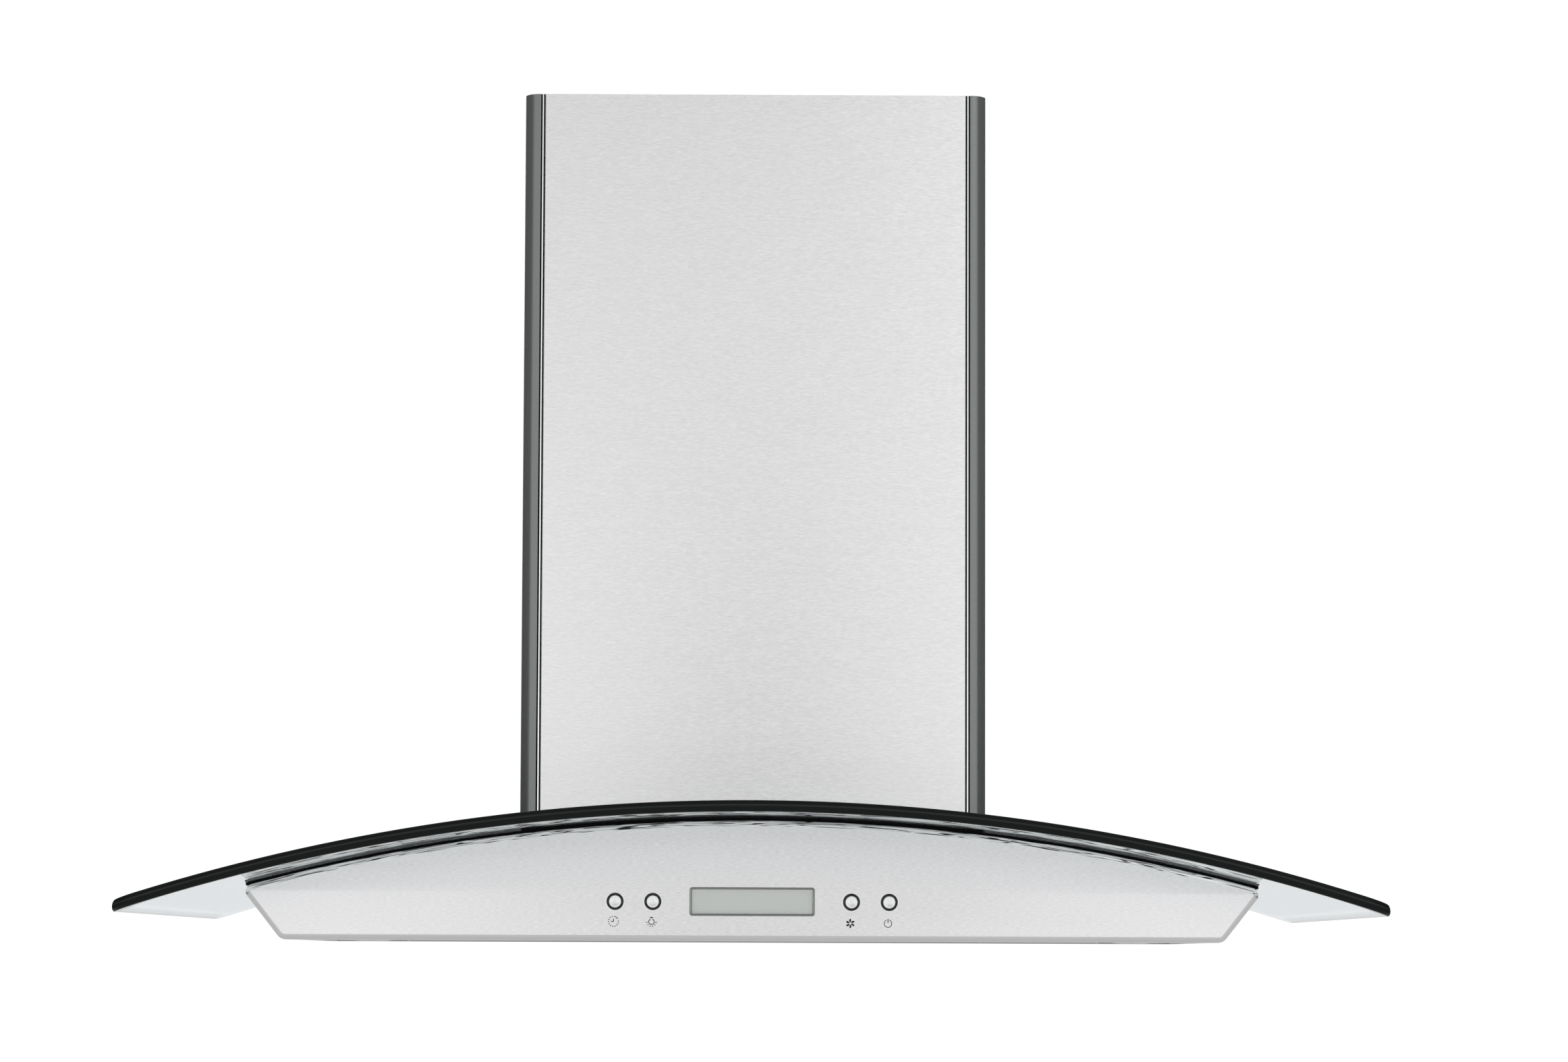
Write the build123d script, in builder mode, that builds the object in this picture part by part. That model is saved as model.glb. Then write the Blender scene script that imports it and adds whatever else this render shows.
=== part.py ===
from build123d import *
from math import cos, pi, sin, sqrt
import os

# Island range hood: an arched glass canopy carried on a steel body with two baffle filters,
# hung from the ceiling by a telescopic frame inside a square chimney.
# X runs along the canopy, the controls face -Y, Z is up, and Z = 0 is the rim of the body.

os.makedirs("parts", exist_ok=True)

# Glass canopy
glass_width = 900.0
glass_depth = 600.0
glass_thickness = 8.0
glass_arch_radius = 1435.0      # underside of the glass
glass_plan_corner = 20.0
gasket_thickness = 2.0

# Steel body under the glass
body_rim_width = 690.0
body_flare = 30.0               # what each end leans out by, up to the shoulder
body_set_out = 18.0             # front of the body beyond the chimney
body_height = 88.3              # rim to crown
body_sheet = 1.2
body_edge_radius = 4.0          # rolled edges of the front and back
body_corner_radius = 8.0        # lower corners seen from the front
body_shoulder_radius = 5.5      # upper corners
flange_width = 16.0             # what the front and back panels return by

# Chimney cover
chimney_width = 344.0
chimney_depth = 284.0
chimney_top = 630.0
chimney_corner = 12.0
chimney_sheet = 1.2
chimney_seal = 1.0
seam_groove = 0.8
seam_strip = 1.5
strip_set_back = 0.2            # front of the strip behind the panel
lip_depth = 4.0
lip_flange = 20.0

# Telescopic frame and ceiling plate
frame_angle = 25.0
frame_sheet = 2.0
frame_gap = 0.3                 # between the sliding angles
height_travel = 300.0
frame_overlap = 87.0            # what stays engaged when fully lowered
frame_inset_x = 22.0            # posts inside the chimney, along and across
frame_inset_y = 24.0
post_top_gap = 18.0             # top of the lower posts below the ceiling
ceiling_plate_sheet = 2.0
ceiling_lip = 15.0
ceiling_bolt_x = 240.0
ceiling_bolt_y = 180.0
ceiling_bolt_hole = 4.25
ceiling_duct_hole = 95.0
upper_cover_gap = 5.0           # between the two chimney covers
upper_cover_drop = 25.0         # foot of the upper cover below its posts
chimney_screw_rise = 59.7       # lower screws above the underside of the glass
chimney_screw_drop = 50.0       # upper screws below the top
upper_cover_sheet = 1.0

# Filters
lamp_band = 79.0                # kept for the lamps beside the filters
filter_set_back = 39.0          # front of the filter opening behind the front of the body
filter_height = 10.0
filter_sheet = 1.0
filter_clearance = 1.0
filter_recess = 1.0             # underside of the filter above the rim
filter_web = 8.0                # between the two filter openings
filter_pin_radius = 2.0
filter_rail = 14.0
filter_front_rail = 30.0
baffle_count = 8
baffle_width = 16.0
baffle_sheet = 0.8

# Lamps
lamp_radius = 26.0
lamp_spacing_y = 180.0

# Controls
button_radius = 4.5
button_ring_radius = 6.3
button_travel = 1.5
button_proud = 0.9
button_z = 28.7
button_places = {"timer": -100.3, "light": -72.7, "speed": 72.7, "power": 100.3}
display_width = 91.5
display_height = 20.8
display_z = 28.8
display_border = 1.2

# Blower and duct
duct_radius = 74.5              # outside of the collar, for 150 mm duct
duct_sheet = 1.5
collar_height = 50.0
blower_lift = 24.7              # foot of the blower above the underside of the glass
blower_height = 270.0
blower_sheet = 1.5
impeller_blades = 30
shaft_radius = 4.0
running_gap = 0.05

# Heights and lines that follow from the sizes above
glass_under_z = body_height + gasket_thickness
body_depth = chimney_depth + 2 * body_set_out
body_shoulder_width = body_rim_width + 2 * body_flare
filter_width = (body_rim_width - 2 * lamp_band - filter_web) / 2 - 2 * filter_clearance
filter_depth = body_depth - 2 * filter_set_back - 2 * filter_clearance
blower_base_z = glass_under_z + blower_lift
blower_throat_z = blower_base_z + blower_height
arch_centre_z = glass_under_z - glass_arch_radius
glass_top_radius = glass_arch_radius + glass_thickness
body_top_radius = glass_arch_radius - gasket_thickness
chimney_foot_radius = glass_top_radius + chimney_seal
rim_half = body_rim_width / 2
shoulder_half = body_shoulder_width / 2
body_half_depth = body_depth / 2
shoulder_z = arch_centre_z + sqrt(body_top_radius**2 - shoulder_half**2)
panel_face = body_half_depth
SIDES = (-1, 1)


def save(piece, name):
    """Label a finished piece and write it to its own STEP file."""
    piece.part.label = name
    export_step(piece.part, f"parts/{name}.step")


def block(x, y, z, mode=Mode.ADD):
    """A box between two limits along each axis."""
    with Locations(((x[0] + x[1]) / 2, (y[0] + y[1]) / 2, (z[0] + z[1]) / 2)):
        Box(abs(x[1] - x[0]), abs(y[1] - y[0]), abs(z[1] - z[0]), mode=mode)


def arch(radius, mode):
    """A long cylinder on the axis that the glass is bent about."""
    with Locations((0, 0, arch_centre_z)):
        Cylinder(radius, glass_depth * 2, rotation=(90, 0, 0), mode=mode)


def arch_height(x, radius):
    """Height of an arch of this radius at a distance x from the middle."""
    return arch_centre_z + sqrt(radius**2 - x**2)


def body_solid(inset):
    """The body as one block: an arched trapezium with rolled ends, drawn in by inset."""
    with BuildPart() as body:
        with BuildSketch(Plane.XZ.offset(body_half_depth - inset)):
            with BuildLine():
                Polyline((-shoulder_half, shoulder_z), (-rim_half, 0),
                         (rim_half, 0), (shoulder_half, shoulder_z))
                ThreePointArc((shoulder_half, shoulder_z), (0, body_height), (-shoulder_half, shoulder_z))
            make_face()
            if inset:
                offset(amount=-inset, kind=Kind.INTERSECTION)
        extrude(amount=-(body_depth - 2 * inset))
        fillet(body.edges().filter_by(Axis.Y).group_by(Axis.Z)[0], body_corner_radius - inset)
        lengthways = body.edges().filter_by(Axis.Y)
        shoulders = lengthways.filter_by(lambda e: e.center().Z > shoulder_z - 3 * inset - 1)
        fillet(shoulders, body_shoulder_radius - inset)
        fillet(body.faces().filter_by(Axis.Y).edges(), body_edge_radius - inset)
    return body.part


body_shell = body_solid(0.0) - body_solid(body_sheet)
far = glass_width

# ---------------------------------------------------------------- glass canopy
# The cut-out in the middle passes the frame and the air, and the chimney covers its edge.
frame_half_x = chimney_width / 2 - frame_inset_x
frame_half_y = chimney_depth / 2 - frame_inset_y
cutout_margin = 5.0
cutout_corner = 10.0
cutout_half_x = frame_half_x + cutout_margin
cutout_half_y = frame_half_y + cutout_margin
glass_edge_round = 1.5

with BuildPart() as glass_canopy:
    with BuildSketch(Plane.XY.offset(-glass_thickness)):
        RectangleRounded(glass_width, glass_depth, glass_plan_corner)
        RectangleRounded(2 * cutout_half_x, 2 * cutout_half_y, cutout_corner, mode=Mode.SUBTRACT)
    extrude(amount=glass_under_z + 4 * glass_thickness)
    arch(glass_top_radius, Mode.INTERSECT)
    arch(glass_arch_radius, Mode.SUBTRACT)
    long_edges = glass_canopy.edges().filter_by(lambda e: e.length > glass_depth / 2)
    fillet(long_edges, glass_edge_round)
save(glass_canopy, "glass_canopy")

# ---------------------------------------------------------------- gasket between glass and body
gasket_width = 10.0
gasket_set_back = 4.0

with BuildPart() as glass_gasket:
    with BuildSketch(Plane.XY):
        Rectangle(body_shoulder_width - 2 * gasket_set_back, body_depth - 2 * gasket_set_back)
        gasket_inner = gasket_set_back + gasket_width
        Rectangle(body_shoulder_width - 2 * gasket_inner, body_depth - 2 * gasket_inner, mode=Mode.SUBTRACT)
    extrude(amount=glass_under_z + glass_thickness)
    arch(glass_arch_radius, Mode.INTERSECT)
    arch(body_top_radius, Mode.SUBTRACT)
save(glass_gasket, "glass_gasket")

# ---------------------------------------------------------------- body panels
# Each panel is a tray: its face and the flanges that it returns along the top, sides and rim.
panel_split = body_half_depth - flange_width
side_flange = 14.0
side_split = rim_half - side_flange
control_hole = button_ring_radius + running_gap
display_hole_gap = 0.1
display_corner = 1.9

with BuildPart() as front_panel:
    add(body_shell)
    block((-far, far), (-far, -panel_split), (-far, far), Mode.INTERSECT)
    with BuildSketch(Plane.XZ.offset(panel_face)):
        with Locations(*[(x, button_z) for x in button_places.values()]):
            Circle(control_hole)
        with Locations((0, display_z)):
            RectangleRounded(display_width + 2 * display_hole_gap, display_height + 2 * display_hole_gap,
                             display_corner + display_hole_gap)
    extrude(amount=-2 * body_sheet, mode=Mode.SUBTRACT)
save(front_panel, "front_panel")

with BuildPart() as back_panel:
    add(body_shell)
    block((-far, far), (panel_split, far), (-far, far), Mode.INTERSECT)
save(back_panel, "back_panel")

for side, name in ((-1, "side_panel_left"), (1, "side_panel_right")):
    with BuildPart() as side_panel:
        add(body_shell)
        block((side * side_split, side * far), (-panel_split, panel_split), (-far, far), Mode.INTERSECT)
    save(side_panel, name)

# The top plate is open under the cut-out in the glass, and the frame stands on it.
intake_half_x = frame_half_x - 30.0
intake_half_y = frame_half_y - 26.0
foot_bolt_radius = 3.0
foot_bolt_set = 13.3            # from the outer corner of the frame
foot_bolt_x = frame_half_x - foot_bolt_set
foot_bolt_y = frame_half_y - foot_bolt_set
bolt_clearance = 0.1
foot_places = [(x * foot_bolt_x, y * foot_bolt_y) for x in SIDES for y in SIDES]

with BuildPart() as body_top_plate:
    add(body_shell)
    block((-side_split, side_split), (-panel_split, panel_split), (2 * body_sheet, far), Mode.INTERSECT)
    with BuildSketch(Plane.XY):
        RectangleRounded(2 * intake_half_x, 2 * intake_half_y, 12.0)
        with Locations(*foot_places):
            Circle(foot_bolt_radius + bolt_clearance)
    extrude(amount=2 * body_height, mode=Mode.SUBTRACT)
save(body_top_plate, "body_top_plate")

# ---------------------------------------------------------------- bottom frame
# A plate on the rim flanges, with an upturned lip round each filter opening.
plate_z = body_sheet
lip_height = filter_recess + filter_height + 4.0
opening_width = filter_width + 2 * filter_clearance
opening_depth = filter_depth + 2 * filter_clearance
filter_x = (filter_web + opening_width) / 2
filter_pin_y = filter_depth / 2 - filter_height / 2
filter_pin_z = filter_recess + filter_height / 2
lamp_x = (filter_x + opening_width / 2 + body_sheet + side_split) / 2
lamp_places = [(x * lamp_x, y * lamp_spacing_y / 2) for x in SIDES for y in SIDES]
plate_half_x = rim_half - 0.75 * body_corner_radius
plate_half_y = body_half_depth - body_edge_radius

with BuildPart() as bottom_frame:
    with BuildSketch(Plane.XY.offset(plate_z)):
        Rectangle(2 * plate_half_x, 2 * plate_half_y)
        with Locations(*lamp_places):
            Circle(lamp_radius, mode=Mode.SUBTRACT)
    extrude(amount=body_sheet)
    for side in SIDES:
        with BuildSketch(Plane.XY.offset(plate_z)):
            with Locations((side * filter_x, 0)):
                Rectangle(opening_width + 2 * body_sheet, opening_depth + 2 * body_sheet)
        extrude(amount=lip_height - plate_z)
    for side in SIDES:
        with BuildSketch(Plane.XY):
            with Locations((side * filter_x, 0)):
                Rectangle(opening_width, opening_depth)
        extrude(amount=lip_height + 1.0, mode=Mode.SUBTRACT)
        for end in SIDES:
            wall_x = side * filter_x + end * (opening_width + body_sheet) / 2
            with Locations((wall_x, filter_pin_y, filter_pin_z)):
                Cylinder(filter_pin_radius + running_gap, 2 * body_sheet, rotation=(0, 90, 0),
                         mode=Mode.SUBTRACT)
save(bottom_frame, "bottom_frame")

# ---------------------------------------------------------------- baffle filters
# A folded channel frame holds two layers of baffles. It tilts on two pins at its back edge,
# and a spring latch in its front rail holds it shut.
rail_inner_front = -filter_depth / 2 + filter_front_rail
rail_inner_back = filter_depth / 2 - filter_rail
filter_top_z = filter_recess + filter_height
channel_z = (filter_recess + filter_sheet, filter_top_z - filter_sheet)
latch_thickness = 2.0
latch_z = filter_recess + 3.9
latch_half_width = 19.0
latch_length = 13.0
latch_travel = 6.0
latch_gap = 0.1
latch_front = -filter_depth / 2 + 3.5
latch_tongue_half = 5.0
latch_tongue_tip = -filter_depth / 2 - 0.4
latch_grip_half = 12.0
pocket_back = latch_front + latch_length + latch_travel + 1.5
latch_housing_back = pocket_back + 4.0


def filter_frame(side):
    """The folded frame of one filter, with its hinge pins and latch housing."""
    x = side * filter_x
    half = filter_width / 2
    with BuildPart() as frame:
        block((x - half, x + half), (-filter_depth / 2, filter_depth / 2), (filter_recess, filter_top_z))
        back_edges = frame.edges().filter_by(Axis.X).group_by(Axis.Y)[-1]
        fillet(back_edges, filter_height / 2 - 0.05)
        block(
            (x - half + filter_sheet, x + half - filter_sheet),
            (-filter_depth / 2 + filter_sheet, filter_depth / 2 - filter_height / 2),
            channel_z,
            Mode.SUBTRACT,
        )
        block(
            (x - half + filter_rail, x + half - filter_rail),
            (rail_inner_front, rail_inner_back),
            (0, filter_top_z + 1),
            Mode.SUBTRACT,
        )
        housing = latch_half_width + 3.0
        block((x - housing, x + housing), (-filter_depth / 2 + 0.5, latch_housing_back), channel_z)
        slide = latch_half_width + latch_gap
        block((x - slide, x + slide), (latch_front - latch_gap, pocket_back),
              (latch_z - latch_gap, latch_z + latch_thickness + latch_gap), Mode.SUBTRACT)
        mouth = latch_half_width - 4.0
        block((x - mouth, x + mouth), (latch_front - latch_gap, pocket_back), (0, latch_z), Mode.SUBTRACT)
        tongue = latch_tongue_half + latch_gap
        block((x - tongue, x + tongue), (-filter_depth / 2 - 1, latch_front),
              (latch_z - latch_gap, latch_z + latch_thickness + latch_gap), Mode.SUBTRACT)
        for end in SIDES:
            pin_length = filter_clearance + body_sheet + filter_sheet
            pin_x = x + end * (half + pin_length / 2 - filter_sheet)
            with Locations((pin_x, filter_pin_y, filter_pin_z)):
                Cylinder(filter_pin_radius, pin_length, rotation=(0, 90, 0))
    return frame


def filter_baffles(side):
    """Two layers of channels: arches below, troughs above, offset by half a pitch."""
    first = latch_housing_back + 0.5 + baffle_width / 2
    last = rail_inner_back + 4.0 - baffle_width / 2
    pitch = (last - first) / (baffle_count - 1)
    layer = (filter_height - 2 * filter_sheet) / 2 - 0.3
    length = filter_width - 2 * filter_rail + 14.0
    low, high = channel_z
    with BuildPart() as baffles:
        with BuildSketch(Plane.YZ.offset(side * filter_x - length / 2)):
            for i in range(baffle_count):
                with Locations((first + i * pitch, low + layer / 2)):
                    Rectangle(baffle_width, layer)
                with Locations((first + i * pitch, low + (layer - baffle_sheet) / 2)):
                    Rectangle(baffle_width - 2 * baffle_sheet, layer - baffle_sheet, mode=Mode.SUBTRACT)
            for i in range(baffle_count - 1):
                with Locations((first + (i + 0.5) * pitch, high - layer / 2)):
                    Rectangle(baffle_width, layer)
                with Locations((first + (i + 0.5) * pitch, high - (layer - baffle_sheet) / 2)):
                    Rectangle(baffle_width - 2 * baffle_sheet, layer - baffle_sheet, mode=Mode.SUBTRACT)
        extrude(amount=length)
    return baffles


def filter_latch(side):
    """A sliding plate with a thumb grip below and a tongue in front."""
    x = side * filter_x
    z = (latch_z, latch_z + latch_thickness)
    with BuildPart() as latch:
        block((x - latch_half_width, x + latch_half_width), (latch_front, latch_front + latch_length), z)
        block((x - latch_tongue_half, x + latch_tongue_half), (latch_tongue_tip, latch_front), z)
        block((x - latch_grip_half, x + latch_grip_half), (latch_front + 3.5, latch_front + 8.5),
              (filter_recess + 0.6, latch_z))
        fillet(latch.edges().filter_by(Axis.X).group_by(Axis.Z)[0], 1.0)
    return latch


for side, name in ((-1, "left"), (1, "right")):
    save(filter_frame(side), f"filter_frame_{name}")
    save(filter_baffles(side), f"filter_baffles_{name}")
    save(filter_latch(side), f"filter_latch_{name}")

# ---------------------------------------------------------------- lamps
lamp_barrel = 1.8
lamp_fit = 0.2
lamp_depth = 22.0

with BuildPart() as lamp_bezels:
    with Locations(*[(x, y, 0.1) for x, y in lamp_places]):
        Cylinder(lamp_radius + 3.0, body_sheet - 0.1, align=(Align.CENTER, Align.CENTER, Align.MIN))
        Cylinder(lamp_radius - lamp_fit, 8.0, align=(Align.CENTER, Align.CENTER, Align.MIN))
        Cylinder(lamp_radius - lamp_barrel - 2.0, 9.0, align=(Align.CENTER, Align.CENTER, Align.MIN),
                 mode=Mode.SUBTRACT)
    with Locations(*[(x, y, body_sheet) for x, y in lamp_places]):
        Cylinder(lamp_radius - lamp_barrel, 9.0, align=(Align.CENTER, Align.CENTER, Align.MIN),
                 mode=Mode.SUBTRACT)
save(lamp_bezels, "lamp_bezels")

with BuildPart() as lamp_lenses:
    with Locations(*[(x, y, body_sheet) for x, y in lamp_places]):
        Cylinder(lamp_radius - lamp_barrel - lamp_fit, 2.0, align=(Align.CENTER, Align.CENTER, Align.MIN))
save(lamp_lenses, "lamp_lenses")

with BuildPart() as lamp_housings:
    with Locations(*[(x, y, body_sheet + 2.0) for x, y in lamp_places]):
        Cylinder(lamp_radius - lamp_barrel - lamp_fit, 6.0, align=(Align.CENTER, Align.CENTER, Align.MIN))
    for step in range(3):
        with Locations(*[(x, y, 8.1 + 4.0 * step) for x, y in lamp_places]):
            Cylinder(lamp_radius - lamp_fit, 2.0, align=(Align.CENTER, Align.CENTER, Align.MIN))
    with Locations(*[(x, y, 8.0) for x, y in lamp_places]):
        Cylinder(lamp_radius - 8.0, lamp_depth - 8.0, align=(Align.CENTER, Align.CENTER, Align.MIN))
save(lamp_housings, "lamp_housings")

# ---------------------------------------------------------------- push buttons
# Each cap slides in a ring snapped into the panel, and its collar stops it behind the ring.
ring_back = panel_face - 4.0
cap_fit = 0.06
cap_collar_radius = button_radius + 1.5
cap_collar_front = ring_back - 0.1
switch_face = cap_collar_front - 1.5 - 6.0 - button_travel
cap_back = switch_face + button_travel + 0.2
dish_depth = 0.6


def button_cap(x):
    """A round cap with a shallow dished face and a retaining collar."""
    front = panel_face + button_proud
    with BuildPart() as cap:
        with BuildSketch(Plane.XZ.offset(front)):
            with Locations((x, button_z)):
                Circle(button_radius)
        extrude(amount=-(front - cap_back))
        fillet(cap.edges().sort_by(Axis.Y)[0], 0.4)
        with BuildSketch(Plane.XZ.offset(cap_collar_front)):
            with Locations((x, button_z)):
                Circle(cap_collar_radius)
        extrude(amount=-1.5)
        dish_radius = (3.6**2 + dish_depth**2) / (2 * dish_depth)
        with Locations((x, -front - dish_radius + dish_depth, button_z)):
            Sphere(dish_radius, mode=Mode.SUBTRACT)
    return cap


for button, x in button_places.items():
    save(button_cap(x), f"{button}_button")

with BuildPart() as button_rings:
    ring_centres = [(x, button_z) for x in button_places.values()]
    with BuildSketch(Plane.XZ.offset(panel_face + 0.2)):
        with Locations(*ring_centres):
            Circle(button_ring_radius)
    extrude(amount=-(panel_face + 0.2 - ring_back))
    with BuildSketch(Plane.XZ.offset(panel_face - body_sheet)):
        with Locations(*ring_centres):
            Circle(button_ring_radius + 1.7)
    extrude(amount=-1.4)
    with BuildSketch(Plane.XZ.offset(panel_face + 1.0)):
        with Locations(*ring_centres):
            Circle(button_radius + cap_fit)
    extrude(amount=-10.0, mode=Mode.SUBTRACT)
save(button_rings, "button_rings")

# ---------------------------------------------------------------- display
bezel_proud = 0.4
bezel_flange = 1.5              # wider than the hole, behind the panel
window_gap = 0.2
window_corner = 0.7
module_depth = 7.0
window_width = display_width - 2 * display_border
window_height = display_height - 2 * display_border

with BuildPart() as display_bezel:
    with BuildSketch(Plane.XZ.offset(panel_face + bezel_proud)):
        with Locations((0, display_z)):
            RectangleRounded(display_width, display_height, display_corner)
    extrude(amount=-(bezel_proud + body_sheet))
    with BuildSketch(Plane.XZ.offset(panel_face - body_sheet)):
        with Locations((0, display_z)):
            RectangleRounded(display_width + 2 * bezel_flange, display_height + 2 * bezel_flange, 2.4)
    extrude(amount=-1.2)
    with BuildSketch(Plane.XZ.offset(panel_face + 1.0)):
        with Locations((0, display_z)):
            RectangleRounded(window_width, window_height, 0.8)
    extrude(amount=-5.0, mode=Mode.SUBTRACT)
save(display_bezel, "display_bezel")

with BuildPart() as display_window:
    with BuildSketch(Plane.XZ.offset(panel_face + 0.1)):
        with Locations((0, display_z)):
            RectangleRounded(window_width - 2 * window_gap, window_height - 2 * window_gap, window_corner)
    extrude(amount=-1.5)
save(display_window, "display_window")

with BuildPart() as display_module:
    with BuildSketch(Plane.XZ.offset(panel_face - 1.5)):
        with Locations((0, display_z)):
            RectangleRounded(window_width - 2 * window_gap, window_height - 2 * window_gap, window_corner)
    extrude(amount=-module_depth)
save(display_module, "display_module")

# ---------------------------------------------------------------- control board and its cover
board_half = max(button_places.values()) + 25.0
board_z = (button_z - 14.5, button_z + 14.5)
board_face = switch_face - 2.0
board_thickness = 1.6
cover_depth = 14.0

with BuildPart() as control_board:
    block((-board_half, board_half), (-board_face, -board_face + board_thickness), board_z)
    for x in button_places.values():
        block((x - 3.0, x + 3.0), (-switch_face, -board_face), (button_z - 3.0, button_z + 3.0))
save(control_board, "control_board")

with BuildPart() as control_cover:
    outer = 1.7
    back = -board_face + cover_depth
    block((-board_half - outer, board_half + outer), (-board_face, back),
          (board_z[0] - outer, board_z[1] + outer))
    block((-board_half - 0.2, board_half + 0.2), (-board_face - 1.0, back - 1.5),
          (board_z[0] - 0.2, board_z[1] + 0.2), Mode.SUBTRACT)
save(control_cover, "control_cover")

with BuildPart() as control_standoffs:
    with BuildSketch(Plane.XZ.offset(panel_face - body_sheet)):
        with GridLocations(2 * board_half - 10.0, 20.0, 2, 2):
            with Locations((0, button_z)):
                Circle(2.5)
    extrude(amount=-(panel_face - body_sheet - board_face))
save(control_standoffs, "control_standoffs")

# ---------------------------------------------------------------- chimney cover
# Two rounded side channels carry the flat front and back panels on inner flanges, with a
# bright strip standing in each of the four seams.
half_w = chimney_width / 2
half_d = chimney_depth / 2
lip_x = half_w - chimney_corner
strip_x = lip_x - seam_groove
front_half = strip_x - seam_strip - seam_groove
flange_face = half_d - lip_depth + chimney_sheet
screw_heights = (glass_under_z + chimney_screw_rise, chimney_top - chimney_screw_drop)
screw_x = lip_x - 13.0


def chimney_side(side):
    """One side channel, with a lip and an inner flange at its front and back edges."""
    with BuildPart() as channel:
        with BuildSketch(Plane.XY):
            RectangleRounded(chimney_width, chimney_depth, chimney_corner)
            RectangleRounded(chimney_width - 2 * chimney_sheet, chimney_depth - 2 * chimney_sheet,
                             chimney_corner - chimney_sheet, mode=Mode.SUBTRACT)
            with Locations((side * (lip_x - half_w), 0)):
                Rectangle(chimney_width, chimney_depth, mode=Mode.SUBTRACT)
            for end in SIDES:
                with Locations((side * (lip_x + chimney_sheet / 2), end * (half_d - lip_depth / 2))):
                    Rectangle(chimney_sheet, lip_depth)
                flange_x = side * (lip_x + chimney_sheet - lip_flange / 2)
                with Locations((flange_x, end * (flange_face - chimney_sheet / 2))):
                    Rectangle(lip_flange, chimney_sheet)
        extrude(amount=chimney_top)
        arch(chimney_foot_radius, Mode.SUBTRACT)
        for height in screw_heights:
            with Locations((side * screw_x, 0, height)):
                Cylinder(2.1, chimney_depth * 2, rotation=(90, 0, 0), mode=Mode.SUBTRACT)
    return channel


def chimney_panel(end):
    """A flat panel whose long edges return to the flanges of the side channels."""
    with BuildPart() as panel:
        with BuildSketch(Plane.XY):
            with Locations((0, end * (half_d - chimney_sheet / 2))):
                Rectangle(2 * front_half, chimney_sheet)
            for side in SIDES:
                return_depth = half_d - flange_face
                with Locations((side * (front_half - chimney_sheet / 2), end * (half_d - return_depth / 2))):
                    Rectangle(chimney_sheet, return_depth)
        extrude(amount=chimney_top)
        outer_edges = panel.edges().filter_by(Axis.Z).group_by(SortBy.DISTANCE)[-1]
        fillet(outer_edges, 0.9)
        arch(chimney_foot_radius, Mode.SUBTRACT)
    return panel


for side, name in ((-1, "left"), (1, "right")):
    save(chimney_side(side), f"chimney_side_{name}")
for end, name in ((-1, "front"), (1, "back")):
    save(chimney_panel(end), f"chimney_{name}_panel")

with BuildPart() as chimney_strips:
    with BuildSketch(Plane.XY):
        for side in SIDES:
            for end in SIDES:
                strip_depth = half_d - strip_set_back - flange_face
                with Locations((side * (strip_x - seam_strip / 2), end * (flange_face + strip_depth / 2))):
                    Rectangle(seam_strip, strip_depth)
    extrude(amount=chimney_top)
    arch(chimney_foot_radius, Mode.SUBTRACT)
save(chimney_strips, "chimney_strips")

with BuildPart() as chimney_seal_ring:
    with BuildSketch(Plane.XY):
        RectangleRounded(chimney_width, chimney_depth, chimney_corner)
        RectangleRounded(chimney_width - 6.0, chimney_depth - 6.0, chimney_corner - 3.0, mode=Mode.SUBTRACT)
    extrude(amount=glass_under_z + 3 * glass_thickness)
    arch(chimney_foot_radius, Mode.INTERSECT)
    arch(glass_top_radius, Mode.SUBTRACT)
save(chimney_seal_ring, "chimney_seal")

with BuildPart() as chimney_screws:
    head_y = flange_face - chimney_sheet
    for side in SIDES:
        for end in SIDES:
            for height in screw_heights:
                with Locations((side * screw_x, end * (half_d - chimney_sheet + head_y) / 2, height)):
                    Cylinder(2.0, half_d - chimney_sheet - head_y, rotation=(90, 0, 0))
                with Locations((side * screw_x, end * (head_y - 1.2), height)):
                    Cylinder(4.0, 2.4, rotation=(90, 0, 0))
save(chimney_screws, "chimney_screws")

# ---------------------------------------------------------------- upper cover
# It stays with the ceiling plate and slides out of the lower cover.
cover_width = chimney_width - 2 * upper_cover_gap
cover_depth_y = chimney_depth - 2 * (upper_cover_gap + lip_depth - 1.0)
lower_post_top = chimney_top - post_top_gap
upper_post_foot = lower_post_top - height_travel - frame_overlap
upper_cover_foot = upper_post_foot - upper_cover_drop

for end, name in ((-1, "front"), (1, "back")):
    with BuildPart() as upper_cover:
        with BuildSketch(Plane.XY.offset(upper_cover_foot)):
            RectangleRounded(cover_width, cover_depth_y, 10.0)
            RectangleRounded(cover_width - 2 * upper_cover_sheet, cover_depth_y - 2 * upper_cover_sheet,
                             9.0, mode=Mode.SUBTRACT)
            with Locations((0, -end * cover_depth_y / 2)):
                Rectangle(cover_width, cover_depth_y, mode=Mode.SUBTRACT)
        extrude(amount=chimney_top - 1.0 - upper_cover_foot)
    save(upper_cover, f"upper_cover_{name}")

# ---------------------------------------------------------------- ceiling plate
plate_width = cover_width - 2 * upper_cover_sheet - 2 * frame_gap
plate_depth = cover_depth_y - 2 * upper_cover_sheet - 2 * frame_gap
inner_half_x = frame_half_x - frame_sheet - frame_gap
inner_half_y = frame_half_y - frame_sheet - frame_gap
junction_depth = 30.0
junction_x = (frame_sheet - inner_half_x, frame_sheet - inner_half_x + junction_depth)
gland_x = (junction_x[0] + junction_x[1]) / 2
cable_hole = 8.0                # for the supply cable, straight above its gland

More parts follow.
